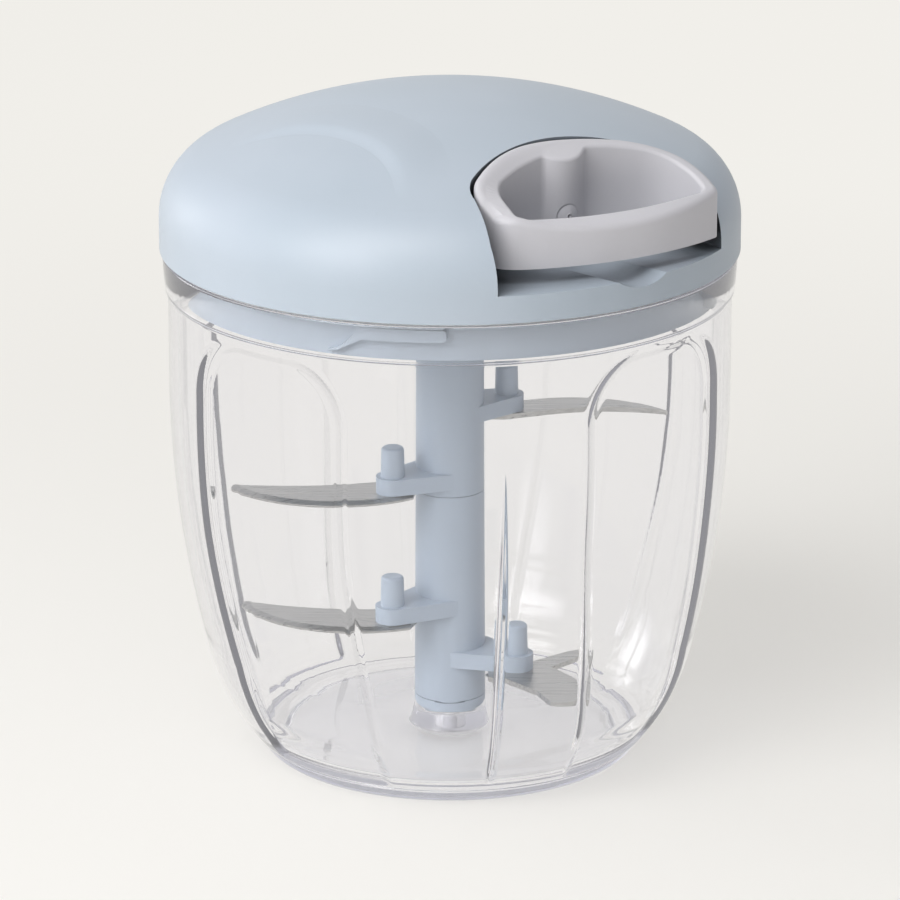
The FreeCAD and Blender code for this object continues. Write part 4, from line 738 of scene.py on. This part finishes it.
def clear_plastic(name):
    """Polished clear plastic with a faint lilac body colour, frosted under the floor; its body glows
    grey as painted light that lifts its dark edges.
    """
    material, tree, shader = new_material(name)
    place = tree.nodes.new("ShaderNodeTexCoord")
    split = tree.nodes.new("ShaderNodeSeparateXYZ")
    tree.links.new(place.outputs["Object"], split.inputs[0])
    out = math_node(tree, "SQRT", math_node(
        tree, "ADD", math_node(tree, "MULTIPLY", split.outputs["X"], split.outputs["X"]),
        math_node(tree, "MULTIPLY", split.outputs["Y"], split.outputs["Y"])), 0.0)
    under = math_node(tree, "LESS_THAN", split.outputs["Z"], 2.0 * MM)
    within = math_node(tree, "LESS_THAN", out, FLOOR_HOLLOW + 0.2 * MM)
    frost = math_node(tree, "MULTIPLY", under, within)
    haze = tree.nodes.new("ShaderNodeTexNoise")
    haze.inputs["Scale"].default_value = 40.0
    tree.links.new(place.outputs["Object"], haze.inputs["Vector"])
    polish = math_node(tree, "MULTIPLY", haze.outputs["Fac"], 0.03)
    tree.links.new(math_node(tree, "ADD", math_node(tree, "MULTIPLY", frost, 0.55), polish),
                   shader.inputs["Roughness"])
    tree.links.new(bump(tree, haze.outputs["Fac"], 0.00003), shader.inputs["Normal"])
    shader.inputs["Base Color"].default_value = (0.996, 0.995, 1.0, 1)
    shader.inputs["Transmission Weight"].default_value = 1.0
    shader.inputs["IOR"].default_value = 1.5
    body = tree.nodes.new("ShaderNodeVolumeAbsorption")
    body.inputs["Color"].default_value = (0.40, 0.40, 0.46, 1)
    body.inputs["Density"].default_value = 46.0
    # painted light: the body glows grey so that the wall's dark edges read lighter
    painted_glow_in_body = tree.nodes.new("ShaderNodeEmission")
    painted_glow_in_body.inputs["Color"].default_value = (0.50, 0.50, 0.53, 1)
    painted_glow_in_body.inputs["Strength"].default_value = 27.0
    both = tree.nodes.new("ShaderNodeAddShader")
    tree.links.new(body.outputs[0], both.inputs[0])
    tree.links.new(painted_glow_in_body.outputs[0], both.inputs[1])
    tree.links.new(both.outputs[0], tree.nodes["Material Output"].inputs["Volume"])
    clear = tree.nodes.new("ShaderNodeBsdfTransparent")
    clear.inputs["Color"].default_value = (1.0, 1.0, 1.0, 1)
    path = tree.nodes.new("ShaderNodeLightPath")
    mix = tree.nodes.new("ShaderNodeMixShader")
    tree.links.new(path.outputs["Is Shadow Ray"], mix.inputs["Fac"])
    tree.links.new(shader.outputs[0], mix.inputs[1])
    tree.links.new(clear.outputs[0], mix.inputs[2])
    tree.links.new(mix.outputs[0], tree.nodes["Material Output"].inputs["Surface"])
    return material


def brushed_metal(name, dark, light, roughness):
    """Metal with fine lines drawn along one way."""
    material, tree, shader = new_material(name)
    place = tree.nodes.new("ShaderNodeTexCoord")
    mapping = tree.nodes.new("ShaderNodeMapping")
    mapping.inputs["Scale"].default_value = (40.0, 900.0, 900.0)
    tree.links.new(place.outputs["Object"], mapping.inputs["Vector"])
    lines = tree.nodes.new("ShaderNodeTexNoise")
    lines.inputs["Scale"].default_value = 2.2
    lines.inputs["Detail"].default_value = 4.0
    tree.links.new(mapping.outputs["Vector"], lines.inputs["Vector"])
    tree.links.new(tone_ramp(tree, lines.outputs["Fac"], dark, light, 0.3, 0.7),
                   shader.inputs["Base Color"])
    spread = math_node(tree, "MULTIPLY", lines.outputs["Fac"], 0.2)
    tree.links.new(math_node(tree, "ADD", spread, roughness - 0.1), shader.inputs["Roughness"])
    tree.links.new(bump(tree, lines.outputs["Fac"], 0.00002), shader.inputs["Normal"])
    shader.inputs["Metallic"].default_value = 1.0
    return material


def braided_cord(name):
    """White braided cord: crossing diagonal bands in the height."""
    material, tree, shader = new_material(name)
    place = tree.nodes.new("ShaderNodeTexCoord")
    bands = []
    for lean in (1.0, -1.0):
        mapping = tree.nodes.new("ShaderNodeMapping")
        mapping.inputs["Rotation"].default_value = (0, math.radians(45 * lean), PULL_ANGLE)
        tree.links.new(place.outputs["Object"], mapping.inputs["Vector"])
        wave = tree.nodes.new("ShaderNodeTexWave")
        wave.inputs["Scale"].default_value = 420.0
        tree.links.new(mapping.outputs["Vector"], wave.inputs["Vector"])
        bands.append(wave.outputs["Fac"])
    weave = math_node(tree, "MAXIMUM", *bands)
    tree.links.new(tone_ramp(tree, weave, linear(196, 194, 188), linear(238, 236, 230), 0.2, 0.9),
                   shader.inputs["Base Color"])
    tree.links.new(bump(tree, weave, 0.0002), shader.inputs["Normal"])
    shader.inputs["Roughness"].default_value = 0.75
    return material


def soft_seal(name):
    """Translucent white seal."""
    material, tree, shader = new_material(name)
    grain = tree.nodes.new("ShaderNodeGroup")
    grain.node_tree = GRAIN
    grain.inputs["Roughness"].default_value = 0.35
    tree.links.new(tone_ramp(tree, grain.outputs["Tone"], linear(228, 231, 236), linear(240, 242, 246)),
                   shader.inputs["Base Color"])
    tree.links.new(grain.outputs["Roughness"], shader.inputs["Roughness"])
    shader.inputs["Transmission Weight"].default_value = 0.3
    return material


GRAIN = moulded_grain_group()
MATERIALS = {
    "clear_plastic": clear_plastic("clear_plastic"),
    "lid_plastic": moulded_plastic("lid_plastic", linear(177, 188, 199), linear(182, 192, 203), 0.42),
    # the cover's colour carries painted shade in its recesses: in the pocket, under the handle and along
    # gaps
    "cover_plastic": moulded_plastic("cover_plastic", linear(175, 186, 197), linear(180, 190, 201),
                                     0.42, shade=(13 * MM, 0.22, 0.86, 0.07)),
    "handle_plastic": moulded_plastic("handle_plastic", linear(199, 198, 203), linear(205, 204, 209),
                                      0.46, 0.00003),
    "grey_plastic": moulded_plastic("grey_plastic", linear(171, 183, 196), linear(176, 188, 201), 0.38),
    "white_plastic": moulded_plastic("white_plastic", linear(225, 225, 222), linear(233, 233, 230), 0.4),
    "seal_rubber": soft_seal("seal_rubber"),
    "blade_steel": brushed_metal("blade_steel", (0.36, 0.36, 0.355), (0.54, 0.535, 0.52), 0.30),
    "bright_steel": brushed_metal("bright_steel", (0.60, 0.60, 0.61), (0.72, 0.72, 0.73), 0.22),
    "spring_steel": brushed_metal("spring_steel", (0.20, 0.21, 0.24), (0.34, 0.35, 0.38), 0.3),
    "cord_fibre": braided_cord("cord_fibre"),
}


def dress(item, material):
    """Give an object one material on every slot."""
    item.data.materials.clear()
    item.data.materials.append(material)


slots = {part["node"]: part["material_slot"] for part in frame["record"]["subparts"]}
for node_name, node in nodes.items():
    dress(node, MATERIALS[slots[node_name]])

dress(nodes["lid_cover"], MATERIALS["cover_plastic"])

dress(make_bowl(), MATERIALS["clear_plastic"])
dress(make_lugs(), MATERIALS["clear_plastic"])
dress(make_palm_rest(), MATERIALS["cover_plastic"])
dress(make_handle(), MATERIALS["handle_plastic"])
dress(make_knot_plug(), MATERIALS["handle_plastic"])
dress(make_cord(), MATERIALS["cord_fibre"])


# ---------------------------------------------------------------- stage, light and camera


def seen_through(tree):
    """1 for a ray that has been mirrored or bent on its way, 0 for any other."""
    path = tree.nodes.new("ShaderNodeLightPath")
    return math_node(tree, "MAXIMUM", path.outputs["Is Glossy Ray"], path.outputs["Is Transmission Ray"])


def make_floor():
    """Plain pale floor with an even glow that grows away from its middle; metal and clear plastic
    see little of the shadow on it."""
    corners = np.array([[-1, -1, 0], [1, -1, 0], [1, 1, 0], [-1, 1, 0]])
    points = corners * FLOOR_HALF - [0, 0, FLOOR_DROP]
    floor = mesh_object("floor", points, [[0, 1, 2, 3]], smooth=False)
    material, tree, shader = new_material("pale_floor")
    place = tree.nodes.new("ShaderNodeTexCoord")
    cloud = tree.nodes.new("ShaderNodeTexNoise")
    cloud.inputs["Scale"].default_value = 1.5
    tree.links.new(place.outputs["Object"], cloud.inputs["Vector"])
    colour = tone_ramp(tree, cloud.outputs["Fac"], linear(240, 238, 233), linear(242, 240, 235))
    tree.links.new(tone_ramp(tree, cloud.outputs["Fac"], linear(244, 242, 238), linear(246, 244, 240)),
                   shader.inputs["Base Color"])
    shader.inputs["Roughness"].default_value = 0.9
    shader.inputs["Specular IOR Level"].default_value = 0.1
    glow = tree.nodes.new("ShaderNodeEmission")
    tree.links.new(colour, glow.inputs["Color"])
    mix = tree.nodes.new("ShaderNodeMixShader")
    path = tree.nodes.new("ShaderNodeLightPath")
    away = tree.nodes.new("ShaderNodeVectorMath")
    away.operation = "LENGTH"
    tree.links.new(place.outputs["Object"], away.inputs[0])
    outwards = map_range(tree, away.outputs["Value"], GLOW_REACH, GLOW_SHARES, soft=True)
    straight = math_node(tree, "MULTIPLY", path.outputs["Is Camera Ray"], outwards)
    bent = math_node(tree, "MULTIPLY", seen_through(tree), GLOW_BENT)
    tree.links.new(math_node(tree, "MAXIMUM", straight, bent), mix.inputs["Fac"])
    tree.links.new(shader.outputs[0], mix.inputs[1])
    tree.links.new(glow.outputs[0], mix.inputs[2])
    tree.links.new(mix.outputs[0], tree.nodes["Material Output"].inputs["Surface"])
    dress(floor, material)


def area_light(name, place, aim, width, height, power):
    """Rectangular soft light aimed at a point: strength 6 u (1 - u) 6 v (1 - v) over its face."""
    lamp = bpy.data.lights.new(name, "AREA")
    lamp.shape = "RECTANGLE"
    lamp.size = width
    lamp.size_y = height
    lamp.energy = power
    lamp.use_nodes = True
    tree = lamp.node_tree
    face = tree.nodes.new("ShaderNodeNewGeometry")
    split = tree.nodes.new("ShaderNodeSeparateXYZ")
    tree.links.new(face.outputs["Parametric"], split.inputs[0])
    hump = [math_node(tree, "MULTIPLY", math_node(tree, "SUBTRACT", 1.0, split.outputs[i]),
                      math_node(tree, "MULTIPLY", split.outputs[i], 6.0)) for i in (0, 1)]
    tree.links.new(math_node(tree, "MULTIPLY", *hump), tree.nodes["Emission"].inputs["Strength"])
    item = bpy.data.objects.new(name, lamp)
    item.location = place
    item.rotation_euler = (Vector(aim) - Vector(place)).to_track_quat("-Z", "Y").to_euler()
    scene.collection.objects.link(item)


def make_world():
    """Even studio light all round; mirrored and bent rays see a pale room with greyer stripes."""
    world = bpy.data.worlds.new("studio")
    world.use_nodes = True
    scene.world = world
    tree = world.node_tree
    place = tree.nodes.new("ShaderNodeTexCoord")
    split = tree.nodes.new("ShaderNodeSeparateXYZ")
    tree.links.new(place.outputs["Generated"], split.inputs[0])
    even = tree.nodes["Background"]
    across = math_node(tree, "MULTIPLY_ADD", split.outputs["X"], 0.5)
    tree.links.new(tone_ramp(tree, across, (1.0, 0.995, 0.985), (0.55, 0.55, 0.56), 0.1, 0.9),
                   even.inputs["Color"])
    tree.links.new(map_range(tree, split.outputs["Z"], WORLD_HEIGHTS, WORLD_SHARES, soft=True),
                   even.inputs["Strength"])
    side = math_node(tree, "ABSOLUTE", split.outputs["X"], 0.0)
    room = tree.nodes.new("ShaderNodeBackground")
    walls = tree.nodes.new("ShaderNodeValToRGB")
    stops = walls.color_ramp.elements
    stops[0].position, stops[1].position = ROOM_STRIPES[0][0], ROOM_STRIPES[-1][0]
    for place_across, _ in ROOM_STRIPES[1:-1]:
        stops.new(place_across)
    for stop, (_, tone) in zip(stops, ROOM_STRIPES):
        stop.color = (*tone, 1)
    tree.links.new(side, walls.inputs["Fac"])
    tree.links.new(walls.outputs["Color"], room.inputs["Color"])
    mix = tree.nodes.new("ShaderNodeMixShader")
    tree.links.new(seen_through(tree), mix.inputs["Fac"])
    tree.links.new(even.outputs[0], mix.inputs[1])
    tree.links.new(room.outputs[0], mix.inputs[2])
    tree.links.new(mix.outputs[0], tree.nodes["World Output"].inputs["Surface"])


def make_camera():
    """Camera at a low three-quarter height in front of the bowl."""
    data = bpy.data.cameras.new("camera")
    data.sensor_width = 36.0
    data.lens = CAMERA_LENS
    data.clip_end = 20.0
    camera = bpy.data.objects.new("camera", data)
    way = Vector((0, -math.cos(CAMERA_ELEVATION), math.sin(CAMERA_ELEVATION)))
    camera.location = CAMERA_AIM + way * CAMERA_DISTANCE
    camera.rotation_euler = (CAMERA_AIM - camera.location).to_track_quat("-Z", "Y").to_euler()
    scene.collection.objects.link(camera)
    scene.camera = camera


make_floor()
make_world()
for settings in LAMPS:
    area_light(*settings)
make_camera()
scene.view_settings.view_transform = "Standard"
